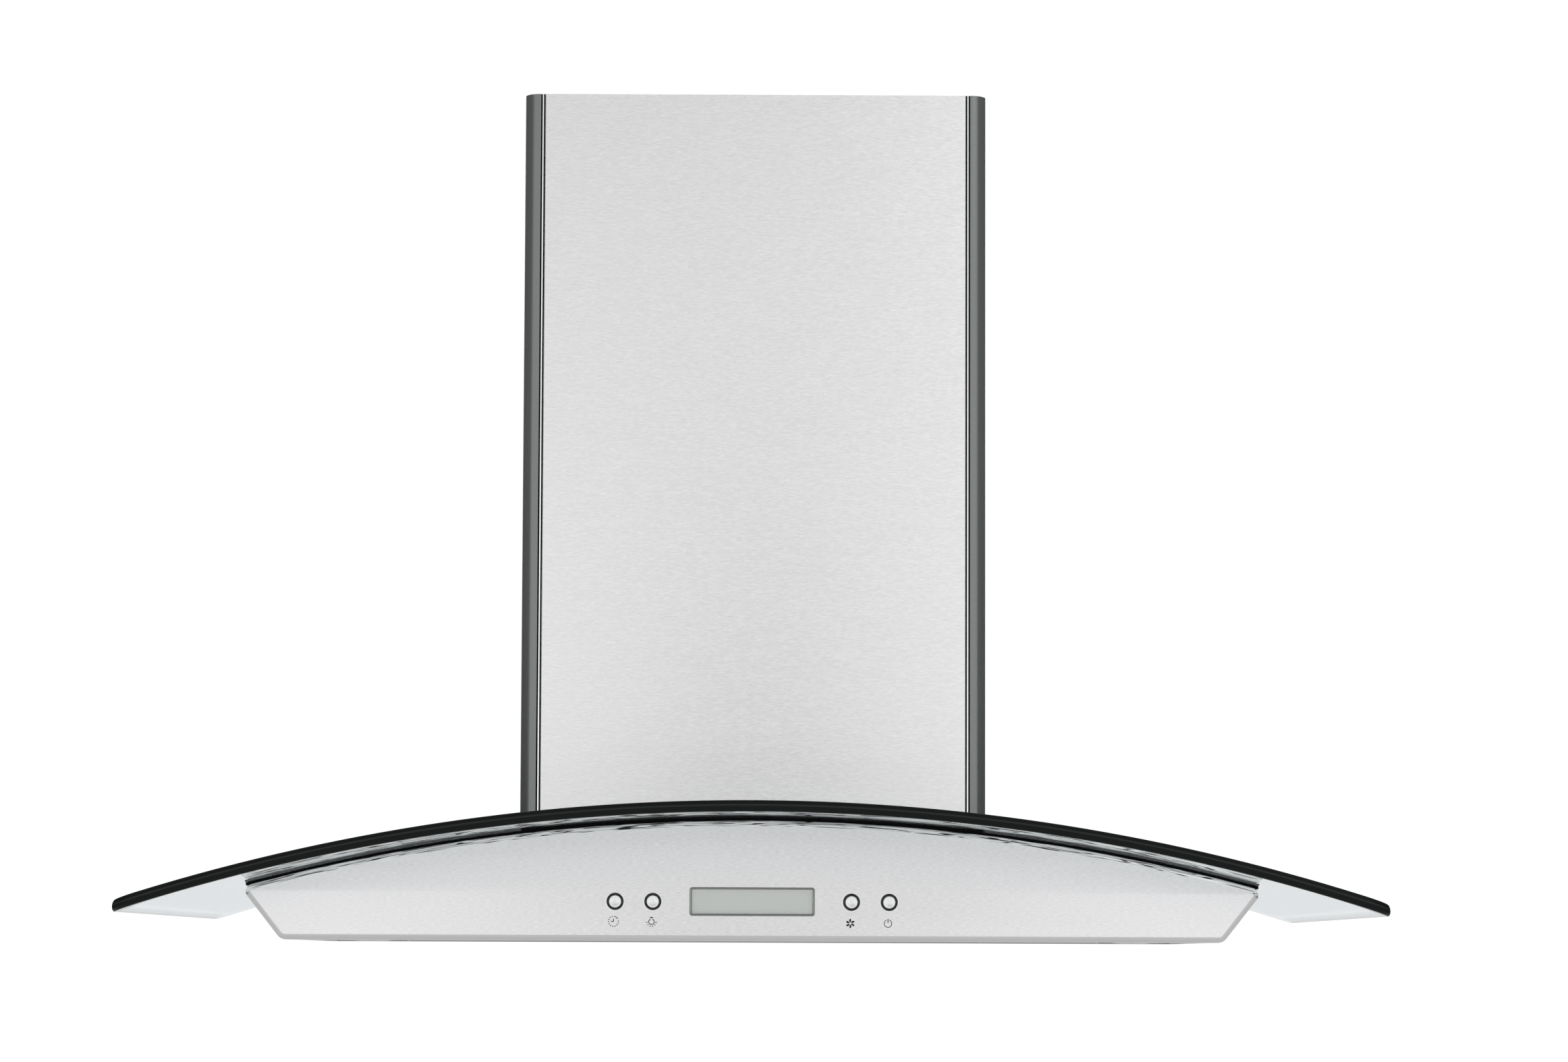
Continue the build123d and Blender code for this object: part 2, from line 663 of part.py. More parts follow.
with BuildPart() as ceiling_plate:
    with BuildSketch(Plane.XY.offset(chimney_top)):
        RectangleRounded(plate_width, plate_depth, 8.5)
    extrude(amount=-ceiling_lip)
    with BuildSketch(Plane.XY.offset(chimney_top - ceiling_plate_sheet)):
        RectangleRounded(plate_width - 2 * ceiling_plate_sheet, plate_depth - 2 * ceiling_plate_sheet, 6.5)
    extrude(amount=-ceiling_lip, mode=Mode.SUBTRACT)
    with BuildSketch(Plane.XY.offset(chimney_top)):
        Circle(ceiling_duct_hole)
        with GridLocations(ceiling_bolt_x, ceiling_bolt_y, 2, 2):
            Circle(ceiling_bolt_hole)
        with Locations((gland_x, 0)):
            Circle(cable_hole)
    extrude(amount=-2 * ceiling_plate_sheet, mode=Mode.SUBTRACT)
save(ceiling_plate, "ceiling_plate")

# ---------------------------------------------------------------- telescopic frame
# Four outer angles hang from the ceiling plate and four inner angles stand on the body. A bolt
# in each inner angle rides in a slot of the outer one.
upper_post_top = chimney_top - ceiling_plate_sheet
inner_angle = frame_angle - 3.0
frame_bolt_radius = 3.0
frame_bolt_z = lower_post_top - 12.0
frame_bolt_y = frame_half_y - 12.0


def angle_post(x, y, corner_x, corner_y, leg):
    """Plan of one angle with its outer corner at the given place. Drawn in the current sketch."""
    with Locations((x * (corner_x - frame_sheet / 2), y * (corner_y - leg / 2))):
        Rectangle(frame_sheet, leg)
    with Locations((x * (corner_x - leg / 2), y * (corner_y - frame_sheet / 2))):
        Rectangle(leg, frame_sheet)


with BuildPart() as upper_frame_posts:
    with BuildSketch(Plane.XY.offset(upper_post_foot)):
        for x in SIDES:
            for y in SIDES:
                angle_post(x, y, frame_half_x, frame_half_y, frame_angle)
    extrude(amount=upper_post_top - upper_post_foot)
    slot_length = height_travel + 4 * frame_bolt_radius
    with BuildSketch(Plane.YZ.offset(-far)):
        for y in SIDES:
            with Locations((y * frame_bolt_y, frame_bolt_z - height_travel / 2)):
                SlotOverall(slot_length, 2 * frame_bolt_radius + 0.6, rotation=90)
    extrude(amount=2 * far, mode=Mode.SUBTRACT)
save(upper_frame_posts, "upper_frame_posts")

with BuildPart() as upper_frame_braces:
    for x in SIDES:
        reach = frame_half_y - frame_angle
        for z in (upper_post_foot, upper_post_top - 20.0):
            block((x * (frame_half_x - frame_sheet), x * frame_half_x), (-reach, reach), (z, z + 20.0))
save(upper_frame_braces, "upper_frame_braces")

with BuildPart() as lower_frame_posts:
    with BuildSketch(Plane.XY):
        for x in SIDES:
            for y in SIDES:
                angle_post(x, y, inner_half_x, inner_half_y, inner_angle)
    extrude(amount=lower_post_top)
    foot_z = arch_height(inner_half_x, body_top_radius)
    for x in SIDES:
        for y in SIDES:
            block((x * (inner_half_x - inner_angle), x * inner_half_x),
                  (y * (inner_half_y - inner_angle), y * inner_half_y), (foot_z - 5.0, foot_z + 5.0))
    arch(body_top_radius, Mode.SUBTRACT)
    with BuildSketch(Plane.XY):
        with Locations(*foot_places):
            Circle(foot_bolt_radius + bolt_clearance)
    extrude(amount=foot_z + 10.0, mode=Mode.SUBTRACT)
    with BuildSketch(Plane.YZ.offset(-far)):
        with Locations((frame_bolt_y, frame_bolt_z), (-frame_bolt_y, frame_bolt_z)):
            Circle(frame_bolt_radius + bolt_clearance)
    extrude(amount=2 * far, mode=Mode.SUBTRACT)
save(lower_frame_posts, "lower_frame_posts")

hanger_z = blower_throat_z - 3.0
brace_levels = (foot_z + 18.0, blower_throat_z - 18.0, lower_post_top - 52.0)

with BuildPart() as lower_frame_braces:
    reach = inner_half_y - inner_angle
    for x in SIDES:
        for z in brace_levels:
            block((x * (inner_half_x - frame_sheet), x * inner_half_x), (-reach, reach), (z, z + 20.0))
save(lower_frame_braces, "lower_frame_braces")

with BuildPart() as foot_bolts:
    with Locations(*[(x, y, foot_z - 6.0) for x, y in foot_places]):
        Cylinder(foot_bolt_radius, 11.0, align=(Align.CENTER, Align.CENTER, Align.MIN))
    with BuildSketch(Plane.XY.offset(foot_z + 5.0)):
        with Locations(*foot_places):
            RegularPolygon(5.0, 6)
    extrude(amount=4.0)
save(foot_bolts, "foot_bolts")

with BuildPart() as frame_bolts:
    for x in SIDES:
        for y in SIDES:
            tip = inner_half_x - frame_sheet - 7.0
            with Locations((x * (tip + frame_half_x + 4.0) / 2, y * frame_bolt_y, frame_bolt_z)):
                Cylinder(frame_bolt_radius, frame_half_x + 4.0 - tip, rotation=(0, 90, 0))
            with Locations((x * (frame_half_x + 2.1), y * frame_bolt_y, frame_bolt_z)):
                Cylinder(5.0, 4.0, rotation=(0, 90, 0))
            with Locations((x * (inner_half_x - frame_sheet - 2.5), y * frame_bolt_y, frame_bolt_z)):
                Cylinder(5.0, 5.0, rotation=(0, 90, 0))
save(frame_bolts, "frame_bolts")

# ---------------------------------------------------------------- glass clips
# Four clips on the top plate hook over the edge of the cut-out, each on a rubber pad.
clip_x = 60.0
clip_half = 12.0
clip_hook = cutout_half_y + 11.0
clip_pad = 1.0
clip_riser = (cutout_half_y - 4.4, cutout_half_y - 1.4)

with BuildPart() as glass_clips:
    for x in (-clip_x, clip_x):
        for end in SIDES:
            across = (x - clip_half, x + clip_half)
            block(across, (end * clip_riser[0], end * clip_hook), (glass_under_z, glass_under_z + 12.0))
    arch(glass_top_radius + clip_pad, Mode.SUBTRACT)
    for x in (-clip_x, clip_x):
        for end in SIDES:
            across = (x - clip_half, x + clip_half)
            block(across, (end * clip_riser[0], end * clip_riser[1]),
                  (body_height - 10.0, glass_under_z + 10.5))
            block(across, (end * (intake_half_y + 3.0), end * clip_riser[1]),
                  (body_height - 10.0, body_height + 2.0))
    arch(body_top_radius, Mode.SUBTRACT)
save(glass_clips, "glass_clips")

with BuildPart() as glass_clip_pads:
    for x in (-clip_x, clip_x):
        for end in SIDES:
            block((x - clip_half, x + clip_half), (end * (cutout_half_y + 1.0), end * clip_hook),
                  (glass_under_z, glass_under_z + 20.0))
    arch(glass_top_radius + clip_pad, Mode.INTERSECT)
    arch(glass_top_radius, Mode.SUBTRACT)
save(glass_clip_pads, "glass_clip_pads")

# ---------------------------------------------------------------- blower
# A drum with an air inlet in each side and a square throat on top, hung on two bars.
drum_radius = inner_half_y - 15.7
throat_half = duct_radius - duct_sheet
fan_z = blower_base_z + drum_radius
inlet_radius = drum_radius - 38.0
inner_wall = throat_half - blower_sheet
throat_flange = throat_half + 15.0

with BuildPart() as blower_housing:
    with BuildSketch(Plane.YZ.offset(-throat_half)):
        with Locations((0, fan_z)):
            Circle(drum_radius)
        with Locations((0, (fan_z + blower_throat_z) / 2)):
            Rectangle(2 * throat_half, blower_throat_z - fan_z)
    extrude(amount=2 * throat_half)
    block((-throat_flange, throat_flange), (-throat_flange, throat_flange),
          (blower_throat_z, blower_throat_z + 2.0))
    with BuildSketch(Plane.YZ.offset(-inner_wall)):
        with Locations((0, fan_z)):
            Circle(drum_radius - blower_sheet)
        with Locations((0, (fan_z + blower_throat_z + 3.0) / 2)):
            Rectangle(2 * inner_wall, blower_throat_z + 3.0 - fan_z)
    extrude(amount=2 * inner_wall, mode=Mode.SUBTRACT)
    with Locations((0, 0, fan_z)):
        Cylinder(inlet_radius, 4 * throat_half, rotation=(0, 90, 0), mode=Mode.SUBTRACT)
save(blower_housing, "blower_housing")

with BuildPart() as inlet_rings:
    for x in SIDES:
        with Locations((x * (throat_half + 1.0), 0, fan_z)):
            Cylinder(inlet_radius + 10.0, 2.0, rotation=(0, 90, 0))
            Cylinder(inlet_radius - 2.0, 3.0, rotation=(0, 90, 0), mode=Mode.SUBTRACT)
save(inlet_rings, "inlet_rings")

# The bars are notched round the posts where a shallow chimney brings these close.
hanger_reach = throat_flange + 8.0
notch_y = inner_half_y - frame_sheet - frame_gap
notch_x = frame_half_x - frame_angle - frame_gap

with BuildPart() as blower_hangers:
    for end in SIDES:
        block((-inner_half_x + frame_sheet, inner_half_x - frame_sheet),
              (end * (throat_half + 3.0), end * hanger_reach), (hanger_z, blower_throat_z))
        for x in SIDES:
            block((x * notch_x, x * far), (end * notch_y, end * far), (hanger_z - 1.0, blower_throat_z + 1.0),
                  Mode.SUBTRACT)
save(blower_hangers, "blower_hangers")

# ---------------------------------------------------------------- impeller, shaft and motor
impeller_radius = drum_radius - 20.0
blade_chord = 16.0
wheel_half = throat_half - 13.0
blade_ring = impeller_radius - blade_chord / 2

with BuildPart() as impeller:
    with Locations((0, 0, fan_z)):
        Cylinder(impeller_radius, 3.0, rotation=(0, 90, 0))
    with Locations((-6.0, 0, fan_z)):
        Cylinder(10.0, 12.0, rotation=(0, 90, 0))
    for i in range(impeller_blades):
        turn = 2 * pi * i / impeller_blades
        blade_place = (0, blade_ring * cos(turn), fan_z + blade_ring * sin(turn))
        with Locations(Location(blade_place, (i * 360 / impeller_blades, 0, 0))):
            Box(2 * wheel_half, blade_chord - 1.0, 1.2)
    for x in SIDES:
        with BuildSketch(Plane.YZ.offset(x * wheel_half - 1.5)):
            with Locations((0, fan_z)):
                Circle(impeller_radius)
                Circle(impeller_radius - blade_chord, mode=Mode.SUBTRACT)
        extrude(amount=3.0)
    with Locations((0, 0, fan_z)):
        Cylinder(shaft_radius, 60.0, rotation=(0, 90, 0), mode=Mode.SUBTRACT)
save(impeller, "impeller")

motor_span = (4.0, 58.0)
motor_radius = min(45.0, impeller_radius - blade_chord - 15.0)

with BuildPart() as motor:
    with BuildSketch(Plane.YZ.offset(motor_span[0])):
        with Locations((0, fan_z)):
            Circle(motor_radius)
    extrude(amount=motor_span[1] - motor_span[0])
    fillet(motor.edges().filter_by(GeomType.CIRCLE), 4.0)
    with Locations((0, 0, fan_z)):
        Cylinder(shaft_radius + running_gap, 4 * motor_span[1], rotation=(0, 90, 0), mode=Mode.SUBTRACT)
save(motor, "motor")

with BuildPart() as motor_shaft:
    with BuildSketch(Plane.YZ.offset(-14.0)):
        with Locations((0, fan_z)):
            Circle(shaft_radius)
    extrude(amount=14.0 + motor_span[1] + 3.0)
save(motor_shaft, "motor_shaft")

bracket_x = throat_half + 2.0
mount_circle = motor_radius * 0.62
mount_radius = 6.0

with BuildPart() as motor_bracket:
    with BuildSketch(Plane.YZ.offset(bracket_x)):
        with Locations((0, fan_z)):
            Circle(inlet_radius + 8.0)
            Circle(inlet_radius - 2.0, mode=Mode.SUBTRACT)
            Circle(mount_circle + mount_radius + 2.0)
            Circle(12.0, mode=Mode.SUBTRACT)
            with PolarLocations((inlet_radius + mount_circle) / 2, 3, start_angle=90):
                Rectangle(inlet_radius - mount_circle, 12.0)
    extrude(amount=2.0)
save(motor_bracket, "motor_bracket")

with BuildPart() as motor_mounts:
    with BuildSketch(Plane.YZ.offset(motor_span[1])):
        with Locations((0, fan_z)):
            with PolarLocations(mount_circle, 3, start_angle=90):
                Circle(mount_radius)
    extrude(amount=bracket_x - motor_span[1])
save(motor_mounts, "motor_mounts")

# ---------------------------------------------------------------- duct collar and damper
collar_foot_z = blower_throat_z + 2.0
collar_top_z = collar_foot_z + collar_height
damper_z = collar_foot_z + 15.0
damper_pin_radius = 1.5
flap_radius = duct_radius - duct_sheet - 2.0
flap_sheet = 1.0
knuckle_radius = 3.0
knuckle_length = 20.0
flap_edge = 3.6
knuckle_places = {"front": (-48.0, 48.0), "back": (-20.0, 20.0)}

with BuildPart() as duct_collar:
    with BuildSketch(Plane.XY.offset(collar_foot_z)):
        Rectangle(2 * throat_flange, 2 * throat_flange)
    extrude(amount=duct_sheet)
    with BuildSketch(Plane.XY.offset(collar_foot_z)):
        Circle(duct_radius)
    extrude(amount=collar_height)
    with BuildSketch(Plane.XY.offset(collar_foot_z)):
        Circle(duct_radius - duct_sheet)
    extrude(amount=collar_height, mode=Mode.SUBTRACT)
    with BuildSketch(Plane.XY.offset(damper_z - 2.5)):
        Circle(duct_radius - duct_sheet / 2)
        Circle(flap_radius - 2.0, mode=Mode.SUBTRACT)
    extrude(amount=1.8)
    with Locations((0, 0, damper_z)):
        Cylinder(damper_pin_radius, 3 * duct_radius, rotation=(0, 90, 0), mode=Mode.SUBTRACT)
save(duct_collar, "duct_collar")

with BuildPart() as damper_pin:
    with Locations((0, 0, damper_z)):
        Cylinder(damper_pin_radius, 2 * duct_radius, rotation=(0, 90, 0))
save(damper_pin, "damper_pin")


def damper_flap(end, name):
    """A half disc with two knuckles round the damper pin."""
    with BuildPart() as flap:
        with BuildSketch(Plane.XY.offset(damper_z - flap_sheet / 2)):
            Circle(flap_radius)
            with Locations((0, end * (flap_edge - flap_radius))):
                Rectangle(2 * flap_radius, 2 * flap_radius, mode=Mode.SUBTRACT)
            for x in knuckle_places[name]:
                with Locations((x, end * flap_edge / 2)):
                    Rectangle(knuckle_length, flap_edge + 1.0)
        extrude(amount=flap_sheet)
        with Locations(*[(x, 0, damper_z) for x in knuckle_places[name]]):
            Cylinder(knuckle_radius, knuckle_length, rotation=(0, 90, 0))
        with Locations((0, 0, damper_z)):
            Cylinder(damper_pin_radius + running_gap, 3 * duct_radius, rotation=(0, 90, 0),
                     mode=Mode.SUBTRACT)
    return flap


for end, name in ((-1, "front"), (1, "back")):
    save(damper_flap(end, name), f"damper_flap_{name}")

# ---------------------------------------------------------------- junction box and cable gland
junction_z = (brace_levels[2] - 25.0, brace_levels[2] + 30.0)
gland_radius = 8.0
gland_bore = 5.0

with BuildPart() as junction_box:
    block(junction_x, (-35.0, 35.0), junction_z)
    wall = 1.5
    block((junction_x[0] + wall, junction_x[1] - wall), (-35.0 + wall, 35.0 - wall),
          (junction_z[0] + wall, junction_z[1] - wall), Mode.SUBTRACT)
    with Locations((gland_x, 0, junction_z[1])):
        Cylinder(gland_radius - 2.0, 4 * wall, mode=Mode.SUBTRACT)
save(junction_box, "junction_box")

with BuildPart() as cable_gland:
    with BuildSketch(Plane.XY.offset(junction_z[1])):
        with Locations((gland_x, 0)):
            RegularPolygon(gland_radius + 1.5, 6)
    extrude(amount=5.0)
    with Locations((gland_x, 0, junction_z[1] - 4.0)):
        Cylinder(gland_radius - 2.0, 16.0, align=(Align.CENTER, Align.CENTER, Align.MIN))
    with Locations((gland_x, 0, junction_z[1])):
        Cylinder(gland_bore, 60.0, mode=Mode.SUBTRACT)
save(cable_gland, "cable_gland")
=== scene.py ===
import bmesh
import bpy
import math
import numpy as np
from mathutils import Matrix, Vector
from mathutils.geometry import tessellate_polygon


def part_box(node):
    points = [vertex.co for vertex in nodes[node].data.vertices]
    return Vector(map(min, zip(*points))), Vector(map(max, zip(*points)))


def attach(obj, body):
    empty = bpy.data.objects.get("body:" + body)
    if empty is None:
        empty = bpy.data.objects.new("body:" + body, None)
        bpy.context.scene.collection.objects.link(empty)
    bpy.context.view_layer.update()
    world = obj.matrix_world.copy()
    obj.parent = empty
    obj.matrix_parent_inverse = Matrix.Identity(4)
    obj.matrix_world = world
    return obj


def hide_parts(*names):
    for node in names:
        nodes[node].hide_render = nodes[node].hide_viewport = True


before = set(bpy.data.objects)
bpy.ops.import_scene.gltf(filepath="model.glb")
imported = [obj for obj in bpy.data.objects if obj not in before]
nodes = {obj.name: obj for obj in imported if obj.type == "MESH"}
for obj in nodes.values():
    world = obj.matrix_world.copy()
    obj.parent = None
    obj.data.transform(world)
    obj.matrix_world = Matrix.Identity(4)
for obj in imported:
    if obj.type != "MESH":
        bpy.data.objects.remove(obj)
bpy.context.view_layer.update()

MM = 0.001

# ------------------------------------------------------------------ camera
# A long lens in front of the controls, a little below the rim of the hood and tipped up,
# so that the underside of the glass just shows.
camera_place = (0.0121, -3.3658, -0.0126)
camera_turn = math.radians(-0.186)
camera_tip = math.radians(4.361)
camera_roll = math.radians(0.218)

lens = bpy.data.cameras.new("camera")
lens.lens = 100.41
lens.sensor_width = 36.0
lens.sensor_fit = "HORIZONTAL"
lens.shift_y = 0.06
lens.clip_end = 200.0
camera = bpy.data.objects.new("camera", lens)
bpy.context.scene.collection.objects.link(camera)
aim = Matrix.Rotation(camera_turn, 4, "Z") @ Matrix.Rotation(math.pi / 2 + camera_tip, 4, "X")
camera.matrix_world = Matrix.Translation(camera_place) @ aim @ Matrix.Rotation(camera_roll, 4, "Z")
bpy.context.scene.camera = camera


# ------------------------------------------------------------------ studio
# A white room: an even white sky that falls off above the camera's side, a softbox at the upper
# right, a pale floor far below the hood, and black and grey cards that only reflections show.
def linear(colour):
    """An sRGB hex colour as linear RGBA."""
    parts = [int(colour[i:i + 2], 16) / 255 for i in (0, 2, 4)]
    return [c / 12.92 if c <= 0.04045 else ((c + 0.055) / 1.055) ** 2.4 for c in parts] + [1.0]


def add_node(tree, kind, links=(), inputs=(), **settings):
    """Adds one shader node with its settings, its input values and the sockets that feed it."""
    made = tree.nodes.new(kind)
    for label, value in settings.items():
        setattr(made, label, value)
    for label, value in dict(inputs).items():
        made.inputs[label].default_value = value
    for label, source in dict(links).items():
        tree.links.new(source, made.inputs[label])
    return made


sky_level = 1.25
sky_overhead = 0.62
sky_behind = 1.06
bpy.context.scene.view_settings.view_transform = "Standard"
world = bpy.data.worlds.new("white_room")
world.use_nodes = True
bpy.context.scene.world = world
sky = world.node_tree
sky.nodes.clear()
direction = add_node(sky, "ShaderNodeTexCoord")
split = add_node(sky, "ShaderNodeSeparateXYZ", {"Vector": direction.outputs["Generated"]})
behind = add_node(sky, "ShaderNodeMapRange", {"Value": split.outputs["Y"]},
                  {"From Min": -0.35, "From Max": 0.15})
fall = add_node(sky, "ShaderNodeMapRange", {"Value": split.outputs["Z"]},
                {"From Min": 0.0, "From Max": 0.35, "To Min": sky_level, "To Max": sky_overhead})
strength = add_node(sky, "ShaderNodeMix", {0: behind.outputs[0], 2: fall.outputs[0]}, {3: sky_behind},
                    data_type="FLOAT")
background = add_node(sky, "ShaderNodeBackground", {"Strength": strength.outputs[0]},
                      {"Color": linear("ffffff")})
add_node(sky, "ShaderNodeOutputWorld", {"Surface": background.outputs[0]})


def plain_card(name, corners, colour):
    """A flat four-cornered card that belongs to the studio."""
    mesh = bpy.data.meshes.new(name)
    mesh.from_pydata(corners, [], [(0, 1, 2, 3)])
    card = bpy.data.objects.new(name, mesh)
    bpy.context.scene.collection.objects.link(card)
    surface = bpy.data.materials.new(name)
    surface.use_nodes = True
    shader = surface.node_tree.nodes["Principled BSDF"]
    shader.inputs["Base Color"].default_value = linear(colour)
    shader.inputs["Roughness"].default_value = 0.9
    mesh.materials.append(surface)
    return card, surface


floor_z = -0.9
floor_half = 12.0
floor_signs = ((-1, -1), (1, -1), (1, 1), (-1, 1))
floor_corners = [(floor_half * side_x, floor_half * side_y, floor_z) for side_x, side_y in floor_signs]
paper = plain_card("floor", floor_corners, "f6f6f6")[1]
# The paper fades into the white of the room with distance, so no horizon shows.
tree = paper.node_tree
place = add_node(tree, "ShaderNodeTexCoord")
reach = add_node(tree, "ShaderNodeVectorMath", {0: place.outputs["Object"]}, operation="LENGTH")
fade = add_node(tree, "ShaderNodeMapRange", {"Value": reach.outputs["Value"]},
                {"From Min": 1.5, "From Max": 8.0})
glow = add_node(tree, "ShaderNodeEmission", (), {"Color": linear("ffffff"), "Strength": 1.02})
blend = add_node(tree, "ShaderNodeMixShader",
                 {0: fade.outputs[0], 1: tree.nodes["Principled BSDF"].outputs[0], 2: glow.outputs[0]})
tree.links.new(blend.outputs[0], tree.nodes["Material Output"].inputs["Surface"])

# Each card's colour, and its corners in metres. The card behind shines, and shows in the glass.
cards = {
    "black_card_left": ("050505", [(-1.5, -1.0, -0.4), (-1.5, 2.6, -0.4),
                                   (-1.5, 2.6, 1.6), (-1.5, -1.0, 1.6)]),
    "black_card_right": ("050505", [(1.5, -1.0, -0.4), (1.5, 2.6, -0.4),
                                    (1.5, 2.6, 1.6), (1.5, -1.0, 1.6)]),
    "black_card_above": ("050505", [(-1.4, -1.9, 1.5), (1.4, -1.9, 1.5),
                                    (1.4, -0.9, 1.9), (-1.4, -0.9, 1.9)]),
    "grey_card_behind": ("000000", [(-8.0, 7.0, -0.89), (8.0, 7.0, -0.89),
                                    (8.0, 7.0, 1.2), (-8.0, 7.0, 1.2)]),
    "grey_card_facing": ("8c8c8c", [(-0.3, -4.6, -0.89), (-0.3, -4.6, 0.5),
                                    (0.3, -4.6, 0.5), (0.3, -4.6, -0.89)]),
}
for name, (colour, corners) in cards.items():
    card, surface = plain_card(name, corners, colour)
    if name == "grey_card_behind":
        shader = surface.node_tree.nodes["Principled BSDF"]
        shader.inputs["Emission Color"].default_value = linear("e4e6e8")
        shader.inputs["Emission Strength"].default_value = 1.0
    card.visible_camera = False
    card.visible_diffuse = False
    card.visible_transmission = False
    card.visible_shadow = False

softbox_place = (1.6, -2.4, 2.0)
softbox_aim = (-1.5, 2.3, -1.7)
soft = bpy.data.lights.new("softbox", "AREA")
soft.shape = "RECTANGLE"
soft.size = 1.6
soft.size_y = 1.2
soft.energy = 12.0
softbox = bpy.data.objects.new("softbox", soft)
softbox_turn = Vector(softbox_aim).to_track_quat("-Z", "Y")
softbox.matrix_world = Matrix.Translation(softbox_place) @ softbox_turn.to_matrix().to_4x4()
softbox.visible_camera = False
bpy.context.scene.collection.objects.link(softbox)


# ------------------------------------------------------------------ glass canopy
# Toughened float glass 8 mm thick, bent to one arch, with a ground and polished edge. It is a
# ring between the cut-out under the chimney and the outer edge, so both faces are one grid each.
def new_material(name, **settings):
    """A Principled material with its constants on the shader's own sockets."""
    material = bpy.data.materials.new(name)
    material.use_nodes = True
    shader = material.node_tree.nodes["Principled BSDF"]
    for label, value in settings.items():
        shader.inputs[label.replace("_", " ")].default_value = value
    return material


def mesh_piece(name, parts, materials, body, replaced=(), crease=35.0):
    """Joins surfaces into one closed mesh that rides on a body. Each part is a grid of points in
    millimetres, rows by columns by 3, or a pair of points and triangles, with a material number."""
    points, faces, numbers = [], [], []
    start = 0
    for part, number in parts:
        if isinstance(part, tuple):
            rows, corners = part
            cloud = rows.reshape(-1, 3)
        else:
            cloud = part.reshape(-1, 3)
            index = np.arange(part.shape[0] * part.shape[1]).reshape(part.shape[:2])
            corners = np.stack([index[:-1, :-1], index[:-1, 1:], index[1:, 1:], index[1:, :-1]], -1)
            corners = corners.reshape(-1, 4)
        faces += (np.asarray(corners) + start).tolist()
        numbers += [number] * len(corners)
        points.append(cloud)
        start += len(cloud)
    mesh = bpy.data.meshes.new(name)
    mesh.from_pydata((np.concatenate(points) * MM).tolist(), [], faces)
    mesh.polygons.foreach_set("material_index", numbers)
    work = bmesh.new()
    work.from_mesh(mesh)
    bmesh.ops.remove_doubles(work, verts=work.verts, dist=2e-6)
    bmesh.ops.dissolve_degenerate(work, edges=work.edges, dist=1e-6)
    bmesh.ops.recalc_face_normals(work, faces=work.faces)
    work.to_mesh(mesh)
    work.free()
    mesh.shade_smooth()
    mesh.set_sharp_from_angle(angle=math.radians(crease))
    for material in materials:
        mesh.materials.append(material)
    piece = bpy.data.objects.new(name, mesh)
    bpy.context.scene.collection.objects.link(piece)
    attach(piece, body)
    if replaced:
        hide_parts(*replaced)
    return piece


def closed(path):
    """The path with its first point again at its end."""
    return np.concatenate([path, path[:1]])


def rounded_rectangle(half_x, half_y, corner, along=40, bend=12):
    """Points round a rectangle: an arc for each corner, with the straight sides divided between them."""
    arcs = []
    for quarter, (side_x, side_y) in enumerate(((1, -1), (1, 1), (-1, 1), (-1, -1))):
        turn = np.radians(90 * quarter - 90 + np.linspace(0, 90, bend))
        arcs.append(np.stack([side_x * (half_x - corner) + corner * np.cos(turn),
                              side_y * (half_y - corner) + corner * np.sin(turn)], 1))
    path = []
    share = np.linspace(0, 1, along + 2)[1:-1, None]
    for arc, following in zip(arcs, arcs[1:] + arcs[:1]):
        path += [arc, arc[-1] * (1 - share) + following[0] * share]
    return closed(np.concatenate(path))


def box_mm(node):
    """Lowest and highest corner of a CAD node in millimetres."""
    low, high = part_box(node)
    return np.array(low) / MM, np.array(high) / MM


glass_half_x, glass_half_y, glass_top = box_mm("glass_canopy")[1]
glass_thickness = 8.0
glass_corner = 20.0
cut_margin = 5.0
cut_corner = 10.0
arch_radius = 1435.0
arch_centre = glass_top - glass_thickness - arch_radius
edge_round = 2.2
edge_rows = 11
line_row = 5


def arch_z(x, radius):
    """Height of an arch of this radius on the glass's own axis."""
    return arch_centre + np.sqrt(radius**2 - x**2)


def on_arch(plan, radius):
    """Plan points lifted onto an arch."""
    return np.concatenate([plan, arch_z(plan[..., :1], radius)], -1)


def glass_outline(inset):
    """The glass in plan, drawn in by inset."""
    return rounded_rectangle(glass_half_x - inset, glass_half_y - inset, glass_corner - inset, along=60)


cut_half = box_mm("upper_frame_posts")[1][:2] + cut_margin
cut_out = rounded_rectangle(cut_half[0], cut_half[1], cut_corner, along=60)
spread = np.linspace(0, 1, 25)[:, None, None]
glass_plan = cut_out * (1 - spread) + glass_outline(edge_round) * spread
swing = np.linspace(-math.pi / 2, math.pi / 2, edge_rows)
glass_edge = np.stack([on_arch(glass_outline(edge_round * (1 - math.cos(t))),
                               arch_radius + glass_thickness / 2 * (1 + math.sin(t))) for t in swing])
cut_wall = np.stack([on_arch(cut_out, arch_radius), on_arch(cut_out, arch_radius + glass_thickness)])

# Clear float glass has a faint green cast, and its faces are perfectly smooth.
float_glass = new_material("clear_float_glass", Base_Color=linear("e4ebec"), Roughness=0.0, IOR=1.5,
                           Transmission_Weight=1.0)
# Seen into the edge, the same glass is bottle green. Its near-black is painted shade: the dark colour
# stands in for the dark that the real edge mirrors from its surroundings.
glass_edge_dark_paint = new_material("glass_edge_painted_dark", Base_Color=linear("171a19"), Roughness=0.4,
                                IOR=1.15)
# A painted highlight: the faces along the crown of the polished edge are a lighter grey, for the
# thin grey line of light there.
glass_edge_line = new_material("glass_edge_painted_highlight", Base_Color=linear("232726"), Roughness=0.5,
                               IOR=1.25)
glass_parts = [(on_arch(glass_plan, arch_radius), 0), (on_arch(glass_plan, arch_radius + glass_thickness), 0),
               (glass_edge[:line_row + 1], 1), (glass_edge[line_row:line_row + 2], 2),
               (glass_edge[line_row + 1:], 1), (cut_wall, 1)]
glasses = [float_glass, glass_edge_dark_paint, glass_edge_line]
mesh_piece("glass_arch", glass_parts, glasses, "hood", ["glass_canopy"])


